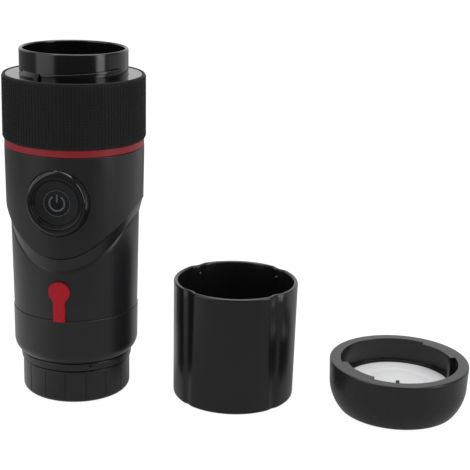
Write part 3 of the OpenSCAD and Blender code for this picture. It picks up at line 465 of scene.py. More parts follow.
# bezel round the button, in a hole of the upper shell
bezel = {"hole": 0.2, "narrow": 0.9, "crest": 15.4, "crestDrop": 0.1, "crestEdge": 0.35, "swell": 2.8,
    "wall": (13.8, 14.1), "wallEdge": 0.25, "gap": 0.08, "inset": 0.2, "lipThick": 2.6, "lipEdge": 0.2,
    "room": 0.3}
bezelLow, bezelHigh = span("button_bezel")
bezelR, buttonZ = bezelHigh.x, (bezelLow.z + bezelHigh.z) / 2


# the bezel wraps the shell, so from the front its outline is narrower than high
def bezelEdge(a):
    wide = bezelR - bezel["narrow"]
    return 1 / hypot(cos(a) / wide, sin(a) / bezelR)


def frontDrill(radiusAt, height, start=5, end=60):
    def plug(a):
        return [(0, start), (radiusAt(a), start), (radiusAt(a), end), (0, end)]
    return makePiece("drill", [sweep(plug, turns(192), frontward(height), closed=False)], satinAbs)


shellTurns = turns(shells["columns"])
upper = makePiece("upper_shell_moulding", [sweep(upperSection, shellTurns)], satinAbs)
cutOut(upper, frontDrill(lambda a: bezelEdge(a) + bezel["hole"], buttonZ))
settle(upper, "machine", "shell_abs", "upper_shell")
lower = makePiece("lower_shell_moulding", [sweep(lowerSection, shellTurns)], satinAbs)
port = {"hole": 4.6}  # the inlet's hole in the lower shell
jackLow, jackHigh = span("dc_jack")
portZ = (jackLow.z + jackHigh.z) / 2
cutOut(lower, frontDrill(lambda a: port["hole"], portZ))
settle(lower, "machine", "shell_abs", "lower_shell")
print("shells done")

# collar under the seam, drawn in at its lower edge
collar = {"throat": 31, "draw": 3.2, "round": 9, "lowEdge": 0.25, "lip": 0.15, "edge": 0.3, "tongue": 33.6,
    "tongueIn": 31.6, "tongueUp": 8, "ledge": 4, "slot": 7, "slotDepth": 4, "slotOut": 60, "slotLow": 0.55,
    "slotHigh": 2}
low, high = span("base_collar")
collarZ, collarR = low.z, high.x
drawTurn = acos(1 - collar["draw"] / collar["round"])
roundR, roundZ = collarR - collar["lip"] - collar["round"], collarZ + collar["round"] * sin(drawTurn)
drawLine = arcPoints(roundR, roundZ, collar["round"], -drawTurn, 0, 12)
tongueTop = seamZ + collar["tongueUp"]
collarLine = rounded([(collar["throat"], collarZ)] + firstFilleted(drawLine, collar["lowEdge"])
    + [(collarR, seamZ, collar["edge"]), (collar["tongue"], seamZ), (collar["tongue"], tongueTop),
    (collar["tongueIn"], tongueTop), (collar["tongueIn"], collarZ + collar["ledge"])])
base = makePiece("base_collar_moulding", [lathe(collarLine)], satinAbs)
slotHalf = collar["slot"] / 2
slotBox = boxPart((-slotHalf, -collar["slotOut"], seamZ - collar["slotLow"]),
    (slotHalf, -collarR + collar["slotDepth"], seamZ + collar["slotHigh"]))
cutOut(base, makePiece("slot", [slotBox], satinAbs))
settle(base, "machine", "shell_abs", "base_collar")

# brew flange: a narrow band between two slits, with one small index mark
flange = {"bore": 22.8, "throat": 21.3, "draft": 0.2, "edge": 0.5, "lowEdge": 0.3, "slit": 0.6,
    "spigot": 30.9, "deck": 36, "lip": 33.3, "markBearing": 28.9, "markZ": 23.2, "mark": (1.8, 0.9),
    "markDepth": 1.6, "markOut": 1}
low, high = span("brew_flange")
flangeZ, flangeR, bandTop = low.z, high.x, collarZ - flange["slit"]
flangeLine = rounded([(0, flange["deck"]), (flange["throat"], flange["deck"]),
    (flange["throat"], flange["lip"]), (flange["bore"], flange["lip"]), (flange["bore"], flangeZ),
    (flangeR - 2 * flange["draft"], flangeZ, flange["lowEdge"]), (flangeR, bandTop, flange["edge"]),
    (flange["spigot"], bandTop), (flange["spigot"], high.z), (0, high.z)], closed=False)
band = makePiece("brew_flange_moulding", [lathe(flangeLine, closed=False)], satinAbs)
markWide, markHigh = (size / 2 for size in flange["mark"])
markVerts, markFaces = boxPart((-markWide, -flangeR - flange["markOut"], flange["markZ"] - markHigh),
    (markWide, -flangeR + flange["markDepth"], flange["markZ"] + markHigh))
markTurn = Matrix.Rotation(radians(flange["markBearing"]), 3, "Z")
markBox = [tuple(markTurn @ Vector(v)) for v in markVerts], markFaces
cutOut(band, makePiece("mark", [markBox], satinAbs))
settle(band, "machine", "shell_abs", "brew_flange")

# capsule holder: grooved foot, open chamber, bayonet neck
holder = {"radius": 31.2, "round": 3.2, "slit": 0.9, "edge": 0.3, "bandLow": 10, "bandRows": (1.6, 1),
    "grooves": 16, "groove": 0.36, "grooveEnd": 0.8, "first": 2.3, "recess": 24.5, "recessUp": 2,
    "recessEdge": 0.4, "floor": 4.5, "outlet": 3.5, "tip": 12, "tipEdge": 0.8, "body": 14.8, "seat": 31.8,
    "seatEdge": 0.4, "rim": 18.8, "rimEdge": 0.2, "neck": 22.5, "neckEdge": 0.3, "lugs": 3, "lugFirst": 90,
    "lugHalf": 12, "lugIn": 21.5, "lugOut": 24.6, "lugZ": (25.15, 28.15)}
neckTop = span("capsule_holder")[1].z
holderR, holderTop = holder["radius"], flangeZ - holder["slit"]
footLine = arcPoints(holderR - holder["round"], holder["round"], holder["round"], -pi / 2, 0, 8)
bandLine = [(holderR, holderTop - drop) for drop in holder["bandRows"]]
holderLine = rounded([(holder["outlet"], holder["recessUp"]), (holder["recess"], holder["recessUp"]),
    (holder["recess"], 0, holder["recessEdge"])] + footLine + [(holderR, holder["bandLow"])] + bandLine
    + [(holderR, holderTop, holder["edge"]), (holder["neck"], holderTop),
    (holder["neck"], neckTop, holder["neckEdge"]), (holder["rim"], neckTop, holder["rimEdge"]),
    (holder["rim"], holder["seat"]), (holder["body"], holder["seat"], holder["seatEdge"]),
    (holder["tip"], holder["floor"], holder["tipEdge"]), (holder["outlet"], holder["floor"])])
groovePitch, grooveFirst = 2 * pi / holder["grooves"], radians(holder["first"])
# bearings stand close across a groove, in mm from its middle, and wide between two
grooveAcross = [-0.65, -0.5, -0.44, -0.34, -0.18, 0, 0.18, 0.34, 0.44, 0.5, 0.65]
landSpan = evenly(grooveAcross[-1] / holderR, groovePitch + grooveAcross[0] / holderR, 8)[1:-1]
holderBearings = []
for i in range(holder["grooves"]):
    centre = grooveFirst + i * groovePitch
    holderBearings += [centre + s / holderR for s in grooveAcross] + [centre + s for s in landSpan]


def holderSection(a):
    across = ((a - grooveFirst + groovePitch / 2) % groovePitch - groovePitch / 2) * holderR
    depth = sqrt(max(0, holder["groove"] ** 2 - across ** 2))
    grooveTop = holderTop - holder["grooveEnd"]
    return [(min(r, holderR - depth) if z < grooveTop else r, z) for r, z in holderLine]


lugLow, lugHigh = holder["lugZ"]
lugLine = [(holder["lugIn"], lugLow), (holder["lugOut"], lugLow), (holder["lugOut"], lugHigh),
    (holder["lugIn"], lugHigh)]
holderParts = [sweep(holderSection, holderBearings)]
for i in range(holder["lugs"]):
    start = holder["lugFirst"] - holder["lugHalf"] + 360 * i / holder["lugs"]
    holderParts.append(arcPart(lugLine, start, start + 2 * holder["lugHalf"], 12))
foot = makePiece("capsule_holder_moulding", holderParts, satinAbs)
settle(foot, "holder", "shell_abs", "capsule_holder")
print("base done")

# gloss plate round the neck
plate = {"inner": 30.3, "edge": 0.35, "innerEdge": 0.15}
low, high = span("top_plate")
plateZ = high.z
plateLine = rounded([(plate["inner"], low.z), (high.x, low.z), (high.x, plateZ, plate["edge"]),
    (plate["inner"], plateZ, plate["innerEdge"])])
topPlate = makePiece("top_plate_gloss", [lathe(plateLine)], glossAbs)
settle(topPlate, "machine", "gloss_abs", "top_plate")

# neck with its bayonet lips and stops; their roots are sunk in its wall
neck = {"inner": 28.2, "outer": 30.2, "flange": 33.2, "flangeDrop": 1.8, "rim": 0.95, "root": 29.6,
    "lip": 32.2, "lipFrom": -13, "lipTo": 68, "lipStart": 1.9, "lipRise": 2.1, "lipThick": 1.4,
    "lipEdge": 0.3, "stopFrom": -50, "stopTo": -22, "stopUp": 3.2, "stopIn": 30.1, "stopEdge": 0.3,
    "stopTopEdge": 0.2}
low, high = span("tank_neck")
flangeTop = plateZ - neck["flangeDrop"]
neckLine = rounded([(neck["inner"], low.z), (neck["flange"], low.z), (neck["flange"], flangeTop),
    (neck["outer"], flangeTop), (neck["outer"], high.z, neck["rim"]), (neck["inner"], high.z, neck["rim"])])
lipFrom, lipTo = radians(neck["lipFrom"]), radians(neck["lipTo"])
lipMiddle, lipHalf = (lipFrom + lipTo) / 2, (lipTo - lipFrom) / 2


def lipSection(a):
    slope = neck["lipRise"] / 2 * sin(a - lipMiddle) / sin(lipHalf)
    low = plateZ + neck["lipStart"] + neck["lipRise"] / 2 + slope
    top = low + neck["lipThick"]
    return rounded([(neck["root"], low), (neck["lip"], low, neck["lipEdge"]),
        (neck["lip"], top, neck["lipEdge"]), (neck["root"], top)], steps=3)


stopTop = plateZ + neck["stopUp"]
stopLine = rounded([(neck["root"], plateZ), (neck["lip"], plateZ),
    (neck["lip"], plateZ + neck["stopUp"] / 4, neck["stopEdge"]),
    (neck["stopIn"], stopTop, neck["stopTopEdge"]), (neck["root"], stopTop)], steps=3)
neckParts = [lathe(neckLine)]
for side in (0, pi):
    neckParts.append(sweep(lipSection, evenly(lipFrom, lipTo, 40), upright(turn=side), around=False))
    neckParts.append(arcPart(stopLine, neck["stopFrom"], neck["stopTo"], 14, upright(turn=side)))
mouth = makePiece("tank_neck_gloss", neckParts, neckAbs)
settle(mouth, "machine", "gloss_abs", "tank_neck")

# drawn steel tank, seen through the neck
tank = {"inner": 28.2, "wall": 1, "floor": 154.7, "corner": 3.5, "rimEdge": 0.5, "outlet": 0.93,
    "outletBearing": 150, "outletR": 17.65, "drill": 5}
low, high = span("water_tank")
tankOut, tankFloor, tankRim = tank["inner"] + tank["wall"], tank["floor"], high.z - tank["wall"]
tankBase = tankFloor - tank["wall"]
tankLine = rounded([
    (0, tankBase), (tankOut, tankBase, tank["corner"] + tank["wall"]), (tankOut, tankRim), (high.x, tankRim),
    (high.x, high.z), (tank["inner"], high.z, tank["rimEdge"]), (tank["inner"], tankFloor, tank["corner"]),
    (0, tankFloor)], closed=False, steps=8)
vessel = makePiece("water_tank_steel", [lathe(tankLine, count=160, closed=False)], drawnSteel)
outletX, outletY, outletZ = upright()(tank["outletR"], radians(tank["outletBearing"]), tankFloor)
drainLow, drainHigh = outletZ - tank["drill"], outletZ + tank["drill"]
drainLine = [(0, drainLow), (tank["outlet"], drainLow), (tank["outlet"], drainHigh), (0, drainHigh)]
drain = lathe(drainLine, upright(outletX, outletY), 32, closed=False)
cutOut(vessel, makePiece("drain", [drain], drawnSteel))
settle(vessel, "machine", "tank_steel", "water_tank")
print("top done")

# dished button cap in the bezel; depths are measured forward from the machine's axis
cap = {"flange": 1.3, "flangeGap": 0.3, "flangeThick": 1.4, "edge": 0.45, "dish": 100, "stem": 2.55,
    "pocket": 1.8, "pocketR": 7.5, "pocketEdge": 0.1, "rows": (8.5, 9.5, 10.5, 11.4)}
capLow, capHigh = span("power_button")
capFront, stemEnd, flangeOut = -capLow.y, -capHigh.y, capHigh.x
capR, lipD = flangeOut - cap["flange"], capFront + bezel["inset"]
lipBack = lipD - bezel["lipThick"]
flangeFront = lipBack - cap["flangeGap"]
flangeBack = flangeFront - cap["flangeThick"]
pocketD = capFront - cap["pocket"]
crestD, bezelBack = -bezelLow.y, -bezelHigh.y
onFront = frontward(buttonZ)


# the outer side swells down from the crest to the shell, which falls away to the left and right
def bezelSection(a):
    edgeR = bezelEdge(a)
    edgeD = sqrt(upperR(buttonZ + edgeR * sin(a)) ** 2 - (edgeR * cos(a)) ** 2)
    swell = []
    for share in evenly(0, 1, 12):
        rise = 1 - (1 - share) ** bezel["swell"]
        swell.append((edgeR + (bezel["crest"] - edgeR) * share, edgeD + (crestD - edgeD) * rise))
    wallLow, wallTop = bezel["wall"]
    roomR, gapR = flangeOut + bezel["room"], capR + bezel["gap"]
    return rounded([(roomR, bezelBack), (edgeR, bezelBack)] + swell
        + [(wallTop, crestD - bezel["crestDrop"], bezel["crestEdge"]), (wallLow, lipD, bezel["wallEdge"]),
        (gapR, lipD, bezel["lipEdge"]), (gapR, lipBack), (roomR, lipBack)])


frontBezel = makePiece("button_bezel_gloss", [sweep(bezelSection, turns(192), onFront)], bezelAbs)
settle(frontBezel, "machine", "gloss_abs", "button_bezel")


def dishD(r):
    return capFront + sqrt(cap["dish"] ** 2 - capR ** 2) - sqrt(cap["dish"] ** 2 - r * r)


pocketR = cap["pocketR"]
capLine = rounded([(0, pocketD), (pocketR, pocketD), (pocketR, dishD(pocketR), cap["pocketEdge"])]
    + [(r, dishD(r)) for r in cap["rows"]] + [(capR, dishD(capR), cap["edge"]), (capR, flangeFront),
    (flangeOut, flangeFront), (flangeOut, flangeBack), (cap["stem"], flangeBack), (cap["stem"], stemEnd),
    (0, stemEnd)], closed=False)
pushCap = makePiece("power_button_cap", [lathe(capLine, onFront, 128, closed=False)], buttonAbs)
settle(pushCap, "button", "button_abs", "power_button")

# lens in the cap's pocket
lens = {"radius": 7.2, "bed": 0.05, "edge": 0.12, "rows": (6.4, 5, 3.5, 2, 0)}
lensR, lensD = lens["radius"], pocketD + lens["bed"]
lensLine = rounded([(0, lensD), (lensR, lensD), (lensR, dishD(lensR), lens["edge"])]
    + [(r, dishD(r)) for r in lens["rows"]], closed=False)
window = makePiece("button_lens_acrylic", [lathe(lensLine, onFront, 96, closed=False)], smokedAcrylic)
settle(window, "button", "smoked_lens", "button_lens")

# lamp mask on the lens: a thin ring, and the power symbol of an open circle and a bar
lamp = {"ring": (7.05, 7.35), "ringSink": 0.2, "ringUp": 0.04, "ringEdge": 0.05, "radius": 4.2,
    "stroke": 0.95, "gap": 33, "sink": 0.1, "strokeUp": 0.03, "barWidth": 0.85, "bar": (0.5, 5),
    "barUp": 0.01}
ringIn, ringOut = lamp["ring"]
lampLine = rounded([(ringIn, dishD(ringIn) - lamp["ringSink"]), (ringOut, dishD(ringOut) - lamp["ringSink"]),
    (ringOut, dishD(ringOut) + lamp["ringUp"], lamp["ringEdge"]),
    (ringIn, dishD(ringIn) + lamp["ringUp"], lamp["ringEdge"])], steps=2)
strokeIn, strokeOut = lamp["radius"] - lamp["stroke"] / 2, lamp["radius"] + lamp["stroke"] / 2
strokeLine = [(strokeIn, dishD(strokeIn) - lamp["sink"]), (strokeOut, dishD(strokeOut) - lamp["sink"]),
    (strokeOut, dishD(strokeOut) + lamp["strokeUp"]), (strokeIn, dishD(strokeIn) + lamp["strokeUp"])]
stroke = arcPart(strokeLine, 90 + lamp["gap"], 450 - lamp["gap"], 48, onFront)  # open at the top
barHalf, (barLow, barHigh) = lamp["barWidth"] / 2, lamp["bar"]
bar = boxPart((-barHalf, -dishD(barHigh) - lamp["barUp"], buttonZ + barLow),
    (barHalf, -dishD(barLow) + lamp["sink"], buttonZ + barHigh))
mask = makePiece("button_lamp_mask", [lathe(lampLine, onFront, 96), stroke, bar], lampInk)
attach(mask, "button")
print("button done")

# silicone cover of the inlet: round head, strap, hollow plug
cover = {"head": 6.15, "strap": 6.8, "fillet": 5, "thick": 1.5, "off": 0.3, "edge": 0.85, "backEdge": 0.2,
    "end": 0.45, "endRound": 0.5, "endMid": 0.15, "spineEnd": 1, "plug": 2.5, "plugIn": 1.5, "plugDeep": 1.7,
    "plugRoot": 0.8, "plugEdge": 0.25, "plugInEdge": 0.2, "hingeUp": 0.3, "bendFrom": -0.6, "bendTo": 3.2}
strapHalf = cover["strap"] / 2
joinX = strapHalf + cover["fillet"]
joinDrop = sqrt((cover["head"] + cover["fillet"]) ** 2 - joinX ** 2)
joinAngle = atan2(-joinDrop, joinX)
strapEnd = seamZ - cover["end"] - portZ
coverSide = arcPoints(0, 0, cover["head"], pi / 2, joinAngle, 32)
coverSide += arcPoints(joinX, -joinDrop, cover["fillet"], joinAngle + pi, pi, 8)[1:]
coverSide += [(strapHalf, y) for y in evenly(-joinDrop, strapEnd + cover["endRound"], 10)[1:]]
coverSide += [(strapHalf - cover["endMid"], strapEnd + cover["endMid"]),
    (strapHalf - cover["endRound"], strapEnd)]
coverOutline = coverSide + [(-x, y) for x, y in reversed(coverSide)][:-1]
outlineCount = len(coverOutline)


def coverInset(amount):
    moved = []
    for i, (x, y) in enumerate(coverOutline):
        px, py = coverOutline[i - 1]
        nx, ny = coverOutline[(i + 1) % outlineCount]
        along = Vector((nx - px, ny - py)).normalized()
        moved.append((x + along.y * amount, y - along.x * amount))
    return moved


# the outline drawn in towards the middle line of head and strap
def toSpine(points, share):
    spineLow = strapEnd + cover["spineEnd"]
    return [(x * (1 - share), y + (max(spineLow, min(0, y)) - y) * share) for x, y in points]


def onShell(x, y, h):
    z = portZ + y
    r = lowerR(z) + cover["off"] + h
    return (x, -sqrt(r * r - x * x), z)


# loops from the middle of the back, over the edge, to the middle of the front
edge, thick, backEdge = cover["edge"], cover["thick"], cover["backEdge"]
coverRings = [(toSpine(coverInset(0), share), 0) for share in (1, 0.6, 0.3)]
coverRings += [(coverInset(backEdge), 0), (coverInset(0), backEdge)]
coverRings += [(coverInset(edge * (1 - cos(t))), thick - edge * (1 - sin(t))) for t in evenly(0, pi / 2, 5)]
coverRings += [(toSpine(coverInset(edge), share), thick) for share in (0.08, 0.3, 0.6, 1)]
coverVerts = [onShell(x, y, h) for points, h in coverRings for x, y in points]
coverFaces = []
for i in range(len(coverRings) - 1):
    here, there = i * outlineCount, (i + 1) * outlineCount
    for k in range(outlineCount):
        n = (k + 1) % outlineCount
        coverFaces.append((here + k, here + n, there + n, there + k))
portD = lowerR(portZ)
plugEnd, plugRoot = portD - cover["plugDeep"], portD + cover["plugRoot"]
plugLine = rounded([(cover["plugIn"], plugEnd, cover["plugInEdge"]),
    (cover["plug"], plugEnd, cover["plugEdge"]), (cover["plug"], plugRoot), (cover["plugIn"], plugRoot)])
plug = lathe(plugLine, frontward(portZ), 48)
flap = makePiece("port_cover_silicone", [(coverVerts, coverFaces), plug], redSilicone)
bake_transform(flap)
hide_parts("port_cover", "cover_root")
print("port cover done")

# drinking cup: four flutes blended into round lobes, with lock nubs inside
cup = {"wall": 2.4, "turn": 4, "flute": 34.7, "fluteR": 8.5, "blendR": 6.5, "flutes": 4, "near": 12,
    "draft": 0.7, "base": 1.6, "baseUp": 0.4, "baseRing": (5, 4), "rim": 1.1, "rimDrop": 1.2, "inner": 3,
    "nub": 1.3, "nubReach": 0.9, "nubDrop": 5.6, "rows": 12}
low, high = span("cup")
cupX, cupY, cupTop = (low.x + high.x) / 2, (low.y + high.y) / 2, high.z
lobeR = (high.x - low.x) / 2
fluteTurn, fluteStep = radians(cup["turn"]), 2 * pi / cup["flutes"]
fluteMiddles = [fluteTurn + (i + 0.5) * fluteStep for i in range(cup["flutes"])]


# radius at a bearing: on the lobe, on the blend beside a flute, or in the flute
def cupR(a, lobe, inset):
    fluteC, blendC = cup["flute"] + cup["fluteR"], lobe - cup["blendR"]
    apart = cup["fluteR"] + cup["blendR"]
    blendA = acos((blendC ** 2 + fluteC ** 2 - apart ** 2) / (2 * blendC * fluteC))
    off = abs((a - fluteTurn) % fluteStep - fluteStep / 2)
    if off >= blendA:
        return lobe - inset
    share = (cup["fluteR"] + inset) / apart
    meetX = fluteC + (blendC * cos(blendA) - fluteC) * share
    meetY = blendC * sin(blendA) * share
    if off >= atan2(meetY, meetX):
        side = blendC * sin(off - blendA)
        return blendC * cos(off - blendA) + sqrt((cup["blendR"] - inset) ** 2 - side ** 2)
    side = fluteC * sin(off)
    return fluteC * cos(off) - sqrt((cup["fluteR"] + inset) ** 2 - side ** 2)


def cupSection(a):
    def wallR(z, inset):
        return cupR(a, lobeR - cup["draft"] * (1 - z / cupTop), inset)
    footR, floorR, rimMid = wallR(0, 0), wallR(0, cup["wall"]), wallR(cupTop, cup["wall"] / 2)
    rimFoot, floorTop = cupTop - cup["rimDrop"], cup["wall"] + cup["inner"]
    ringIn, ringOut = cup["baseRing"]
    section = [(0, cup["baseUp"]), (footR / 2, cup["baseUp"]), (footR - ringIn, cup["baseUp"]),
        (footR - ringOut, 0)]
    section += arcPoints(footR - cup["base"], cup["base"], cup["base"], -pi / 2, 0, 6)
    section += [(wallR(z, 0), z) for z in evenly(cup["base"], rimFoot, cup["rows"])[1:]]
    section += [(rimMid + cup["wall"] / 2 * cos(t), cupTop - cup["rim"] * (1 - sin(t)))
        for t in evenly(0, pi, 8)]
    section += [(wallR(z, cup["wall"]), z) for z in evenly(rimFoot, floorTop, cup["rows"] - 1)[1:]]
    section += arcPoints(floorR - cup["inner"], floorTop, cup["inner"], 0, -pi / 2, 6)[1:]
    return section + [(floorR - cup["inner"] - 1, cup["wall"]), (floorR / 2, cup["wall"]), (0, cup["wall"])]


# bearings stand close near a flute, and wide round a lobe
near = radians(cup["near"])
cupSpan = evenly(-near, near, 36) + evenly(near, fluteStep - near, 12)[1:-1]
cupBearings = [middle + off for middle in fluteMiddles for off in cupSpan]
cupParts = [sweep(cupSection, cupBearings, upright(cupX, cupY), closed=False)]
nubR = cup["flute"] - cup["wall"] + cup["nub"] - cup["nubReach"]
nubLine = arcPoints(0, cupTop - cup["nubDrop"], cup["nub"], -pi / 2, pi / 2, 10)
for middle in fluteMiddles:
    nubPlace = upright(cupX + nubR * sin(middle), cupY - nubR * cos(middle))
    cupParts.append(lathe(nubLine, nubPlace, 20, closed=False))
beaker = makePiece("cup_moulding", cupParts, cupAbs)
settle(beaker, "cup", "gloss_abs", "cup")
print("cup done")

# lid of the tank, set down on its dome, with its tabs and sealing disc showing
lid = {"draft": 0.5, "domeUp": 17, "domeR": 25.5, "domeEdge": 0.7, "domeFillet": 0.8, "edge": 1.0,
    "bevel": 4, "bevelEdge": 1.5, "bore": 33.6, "boreEdge": 0.5, "boreFoot": 0.4, "shelf": 30.7,
    "shelfEdge": 0.25, "tabIn": 30.6, "tabRoot": 34.2, "tabFrom": 107, "tabSpan": 47, "tabThick": 1.7,
    "tabEdge": 0.4, "tabLowEdge": 0.3, "endIn": 30.9, "endSpan": 6, "endSink": 0.2, "endDrop": 0.5}
low, high = span("lid_shell")
lidX, lidY = (low.x + high.x) / 2, (low.y + high.y) / 2
lidTop, lidR = high.z, (high.x - low.x) / 2
lidPlace = upright(lidX, lidY)
discLow, discHigh = span("lid_seal")
discR, discZ = (discHigh.x - discLow.x) / 2, discHigh.z
domeC = lidR - lid["draft"] - lid["domeR"]
domeEnd = asin((lid["domeUp"] - lid["domeEdge"]) / lid["domeR"])
domeLine = arcPoints(domeC, lid["domeUp"], lid["domeR"], -domeEnd, 0, 20)
bevelR = domeLine[0][0] - lid["bevel"]
lidLine = rounded([(0, 0), (bevelR, 0, lid["bevelEdge"])] + firstFilleted(domeLine, lid["domeFillet"])
    + [(lidR, lidTop, lid["edge"]), (lid["bore"], lidTop, lid["boreEdge"]),
    (lid["bore"], discZ, lid["boreFoot"]), (lid["shelf"], discZ, lid["shelfEdge"]),
    (lid["shelf"], discLow.z), (0, discLow.z)], closed=False)
tabLow, endLow, endTop = lidTop - lid["tabThick"], discZ - lid["endSink"], lidTop - lid["endDrop"]
tabLine = rounded([(lid["tabIn"], tabLow, lid["tabLowEdge"]), (lid["tabRoot"], tabLow),
    (lid["tabRoot"], lidTop), (lid["tabIn"], lidTop, lid["tabEdge"])], steps=3)
endLine = [(lid["endIn"], endLow), (lid["tabRoot"], endLow), (lid["tabRoot"], endTop), (lid["endIn"], endTop)]
lidParts = [lathe(lidLine, lidPlace, closed=False)]
for start in (lid["tabFrom"], lid["tabFrom"] + 180):
    lidParts.append(arcPart(tabLine, start, start + lid["tabSpan"], 24, lidPlace))
    lidParts.append(arcPart(endLine, start, start + lid["endSpan"], 4, lidPlace))
lidShell = makePiece("lid_shell_moulding", lidParts, lidAbs)
settle(lidShell, "lid", "lid_abs", "lid_shell")

# white disc with one shallow ring pressed in
disc = {"ringAt": 0.6, "ringHalf": 3.2, "ringDeep": 0.3, "ringEdge": 1.4, "hole": 1.2, "holeEdge": 0.15,
    "edge": 0.35}
ringMid, ringLow = disc["ringAt"] * discR, discZ - disc["ringDeep"]
ringCorners = [(ringMid + share * disc["ringHalf"], z, disc["ringEdge"])
    for share, z in ((-1, discZ), (-0.5, ringLow), (0.5, ringLow), (1, discZ))]
discLine = rounded([(disc["hole"], discLow.z), (disc["hole"], discZ, disc["holeEdge"])] + ringCorners
    + [(discR, discZ, disc["edge"]), (discR, discLow.z)], steps=3)
seal = makePiece("lid_seal_silicone", [lathe(discLine, lidPlace, 160)], whiteSilicone)
settle(seal, "lid", "white_silicone", "lid_seal")

# vent pin through the disc
pin = {"stem": 1.1, "rise": 0.9, "foot": 2.2, "footUp": 1.2, "edge": 0.35}
pinLow = span("vent_pin")[0].z
footTop, pinTop = pinLow + pin["footUp"], discZ + pin["rise"]
pinLine = rounded([(0, pinLow), (pin["foot"], pinLow), (pin["foot"], footTop), (pin["stem"], footTop),
    (pin["stem"], pinTop, pin["edge"]), (0, pinTop)], closed=False)
vent = makePiece("vent_pin_nylon", [lathe(pinLine, lidPlace, 40, closed=False)], darkNylon)
settle(vent, "lid", "dark_nylon", "vent_pin")
print("lid done")

# pieces inside keep their solids and take their own finish
innerFinish = {
    "tank_gasket": clearSilicone, "heater_plate": castAluminium, "thermostat": paleNylon,
    "switch_plunger": paleNylon, "tact_switch": darkNylon, "control_board": boardLaminate,
    "board_screws": zincSteel, "dc_jack": darkNylon, "supply_leads": redPvc, "pump_bracket": greyNylon,
    "pump_head": darkNylon, "pump_motor": zincSteel, "water_hose": clearSilicone,
    "nozzle_seal": clearSilicone, "piercing_plate": drawnSteel, "brew_seal": whiteSilicone,
    "flange_screws": zincSteel, "outlet_sieve": drawnSteel}
for name, finish in innerFinish.items():
    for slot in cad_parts[name].material_slots:
        slot.material = finish
print("inner pieces dressed:", len(innerFinish))

# white floor and background for the eye; what reflections find there is darker on the camera's side
studio = {"floorSize": 8, "shadowShare": 0.14, "floorTone": 1.09, "floorTurn": 1.0, "floorRamp": (-0.9, 0.5),
    "floorMirror": (0.34, 0.66), "fade": (0.2, 0.5), "farShare": 0.35, "right": (0.2, 0.32),
    "rear": (-0.15, 0.08), "rightTone": 0.4, "backTurn": 0.36, "backRamp": (0.05, 0.75),
    "backMirror": (0.16, 1.0), "ambient": 0.55}


# what the camera sees, and what gloss, metal and glass see
def rayKinds(tree):
    rays = addNode(tree, "ShaderNodeLightPath").outputs
    mirror = addNode(tree, "ShaderNodeMath", {"operation": "MAXIMUM"},
        {0: rays["Is Glossy Ray"], 1: rays["Is Transmission Ray"]})
    return rays["Is Camera Ray"], mirror


# a tone that rises from the camera's side to the back; the turn swings its dark side towards +X
def backTone(tree, direction, turn, ramp, tones):
    where = addNode(tree, "ShaderNodeSeparateXYZ", inputs={0: direction}).outputs
    aside = addNode(tree, "ShaderNodeMath", {"operation": "MULTIPLY"}, {0: where["X"], 1: turn})
    behind = addNode(tree, "ShaderNodeMath", {"operation": "SUBTRACT"}, {0: where["Y"], 1: aside})
    return addNode(tree, "ShaderNodeMapRange", {"interpolation_type": "SMOOTHSTEP"},
        {"Value": behind, "From Min": ramp[0], "From Max": ramp[1], "To Min": tones[0], "To Max": tones[1]})


floorMesh = bpy.data.meshes.new("floor")
edgeAt = studio["floorSize"] / 2
floorCorners = [(x * edgeAt, y * edgeAt, 0) for x, y in ((-1, -1), (1, -1), (1, 1), (-1, 1))]
floorMesh.from_pydata(floorCorners, [], [(0, 1, 2, 3)])
floor = addObject("floor", floorMesh)
paper = bpy.data.materials.new("whitePaper")
paper.use_nodes = True
tree = paper.node_tree
tree.nodes.clear()
cameraRay, mirrorRay = rayKinds(tree)
spotOn = addNode(tree, "ShaderNodeTexCoord").outputs["Object"]
away = addNode(tree, "ShaderNodeVectorMath", {"operation": "LENGTH"}, {0: spotOn})
# painted light: as reflections see it, the floor fades darker away from the object
fading = addNode(tree, "ShaderNodeMapRange", inputs={
    "Value": away.outputs["Value"], "From Min": studio["fade"][0], "From Max": studio["fade"][1],
    "To Min": 1, "To Max": studio["farShare"]})
# painted shade: as reflections see it, the floor is darker on the camera's side
outwards = addNode(tree, "ShaderNodeVectorMath", {"operation": "NORMALIZE"}, {0: spotOn})
toned = backTone(tree, outwards, studio["floorTurn"], studio["floorRamp"], studio["floorMirror"])
# painted light: as reflections see it, the floor is lighter behind the lid
placed = addNode(tree, "ShaderNodeSeparateXYZ", inputs={0: spotOn}).outputs
lifted = addNode(tree, "ShaderNodeMapRange", {"interpolation_type": "SMOOTHSTEP"}, {
    "Value": placed["X"], "From Min": studio["right"][0], "From Max": studio["right"][1],
    "To Min": 0, "To Max": studio["rightTone"]})
rear = addNode(tree, "ShaderNodeMapRange", {"interpolation_type": "SMOOTHSTEP"},
    {"Value": placed["Y"], "From Min": studio["rear"][0], "From Max": studio["rear"][1]})
rearRight = addNode(tree, "ShaderNodeMath", {"operation": "MULTIPLY"}, {0: lifted, 1: rear})
faded = addNode(tree, "ShaderNodeMath", {"operation": "MULTIPLY_ADD"}, {0: toned, 1: fading, 2: rearRight})
mirrored = addNode(tree, "ShaderNodeEmission", inputs={"Strength": faded})
# the eye sees paper that is nearly all plain white, and still takes the shadow
seen = addNode(tree, "ShaderNodeEmission", inputs={"Color": (1, 1, 1, 1), "Strength": studio["floorTone"]})
matte = addNode(tree, "ShaderNodeBsdfDiffuse", inputs={"Color": linear("#f2f2f2")})
shaded = addNode(tree, "ShaderNodeMixShader", inputs={0: studio["shadowShare"], 1: seen, 2: matte})
forEye = addNode(tree, "ShaderNodeMixShader", inputs={0: cameraRay, 1: matte, 2: shaded})
both = addNode(tree, "ShaderNodeMixShader", inputs={0: mirrorRay, 1: forEye, 2: mirrored})
addNode(tree, "ShaderNodeOutputMaterial", inputs={"Surface": both})
floorMesh.materials.append(paper)

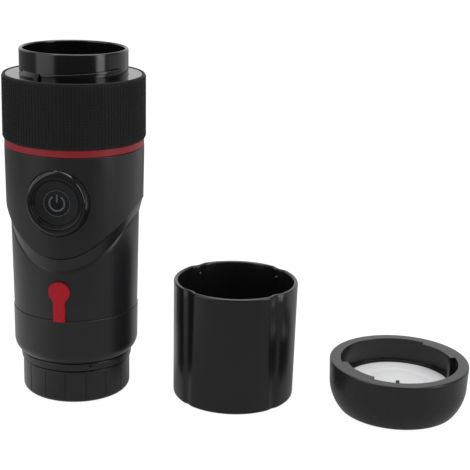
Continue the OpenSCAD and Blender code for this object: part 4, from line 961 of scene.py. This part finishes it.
world = bpy.data.worlds.new("studio")
bpy.context.scene.world = world
world.use_nodes = True
tree = world.node_tree
tree.nodes.clear()
cameraRay, mirrorRay = rayKinds(tree)
outwards = addNode(tree, "ShaderNodeTexCoord").outputs["Generated"]
toned = backTone(tree, outwards, studio["backTurn"], studio["backRamp"], studio["backMirror"])
level = addNode(tree, "ShaderNodeMix", {"data_type": "FLOAT"},
    {"Factor": mirrorRay, 2: studio["ambient"], 3: toned})
level = addNode(tree, "ShaderNodeMix", {"data_type": "FLOAT"}, {"Factor": cameraRay, 2: level, 3: 1})  # white
sky = addNode(tree, "ShaderNodeBackground", inputs={"Color": (1, 1, 1, 1), "Strength": level})
addNode(tree, "ShaderNodeOutputWorld", inputs={"Surface": sky})

# soft boxes: where they stand, where they look, their width and height in metres, and their power
softBoxes = {
    "keyBox": {"at": (-0.64, -0.6, 0.42), "to": (0.05, 0, 0.1), "size": (0.78, 1.4), "power": 4.2},
    "sideBox": {"at": (0.91, -0.3, 0.3), "to": (0.05, 0, 0.1), "size": (0.32, 1.0), "power": 3.4},
    "topBox": {"at": (0.1, 0.1, 1.1), "to": (0.1, 0, 0), "size": (1.0, 0.8), "power": 10}}
for name, soft in softBoxes.items():
    light = bpy.data.lights.new(name, "AREA")
    light.shape = "RECTANGLE"
    light.size, light.size_y = soft["size"]
    light.energy = soft["power"]
    box = addObject(name, light)
    box.location = soft["at"]
    box.rotation_euler = (Vector(soft["to"]) - Vector(soft["at"])).to_track_quat("-Z", "Y").to_euler()

# camera of the photograph: place in mm, then heading, fall and roll in degrees
view = {"at": (178.2, -655.9, 295.8), "heading": 7.41, "fall": 16.616, "roll": 1.66158, "lens": 93.15,
    "sensor": 36}
camera = bpy.data.cameras.new("camera")
camera.lens, camera.sensor_width = view["lens"], view["sensor"]
heading, fall, roll = (radians(view[key]) for key in ("heading", "fall", "roll"))
forward = Vector((-sin(heading) * cos(fall), cos(heading) * cos(fall), -sin(fall)))
across = Vector((cos(heading), sin(heading), 0))
above = across.cross(forward)
right, up = across * cos(roll) + above * sin(roll), above * cos(roll) - across * sin(roll)
eye = addObject("camera", camera)
aim = Matrix((right, up, -forward)).transposed().to_4x4()
eye.matrix_world = Matrix.Translation(Vector(view["at"]) * mm) @ aim
bpy.context.scene.camera = eye
bpy.context.scene.view_settings.view_transform = "Standard"
print("studio ready")
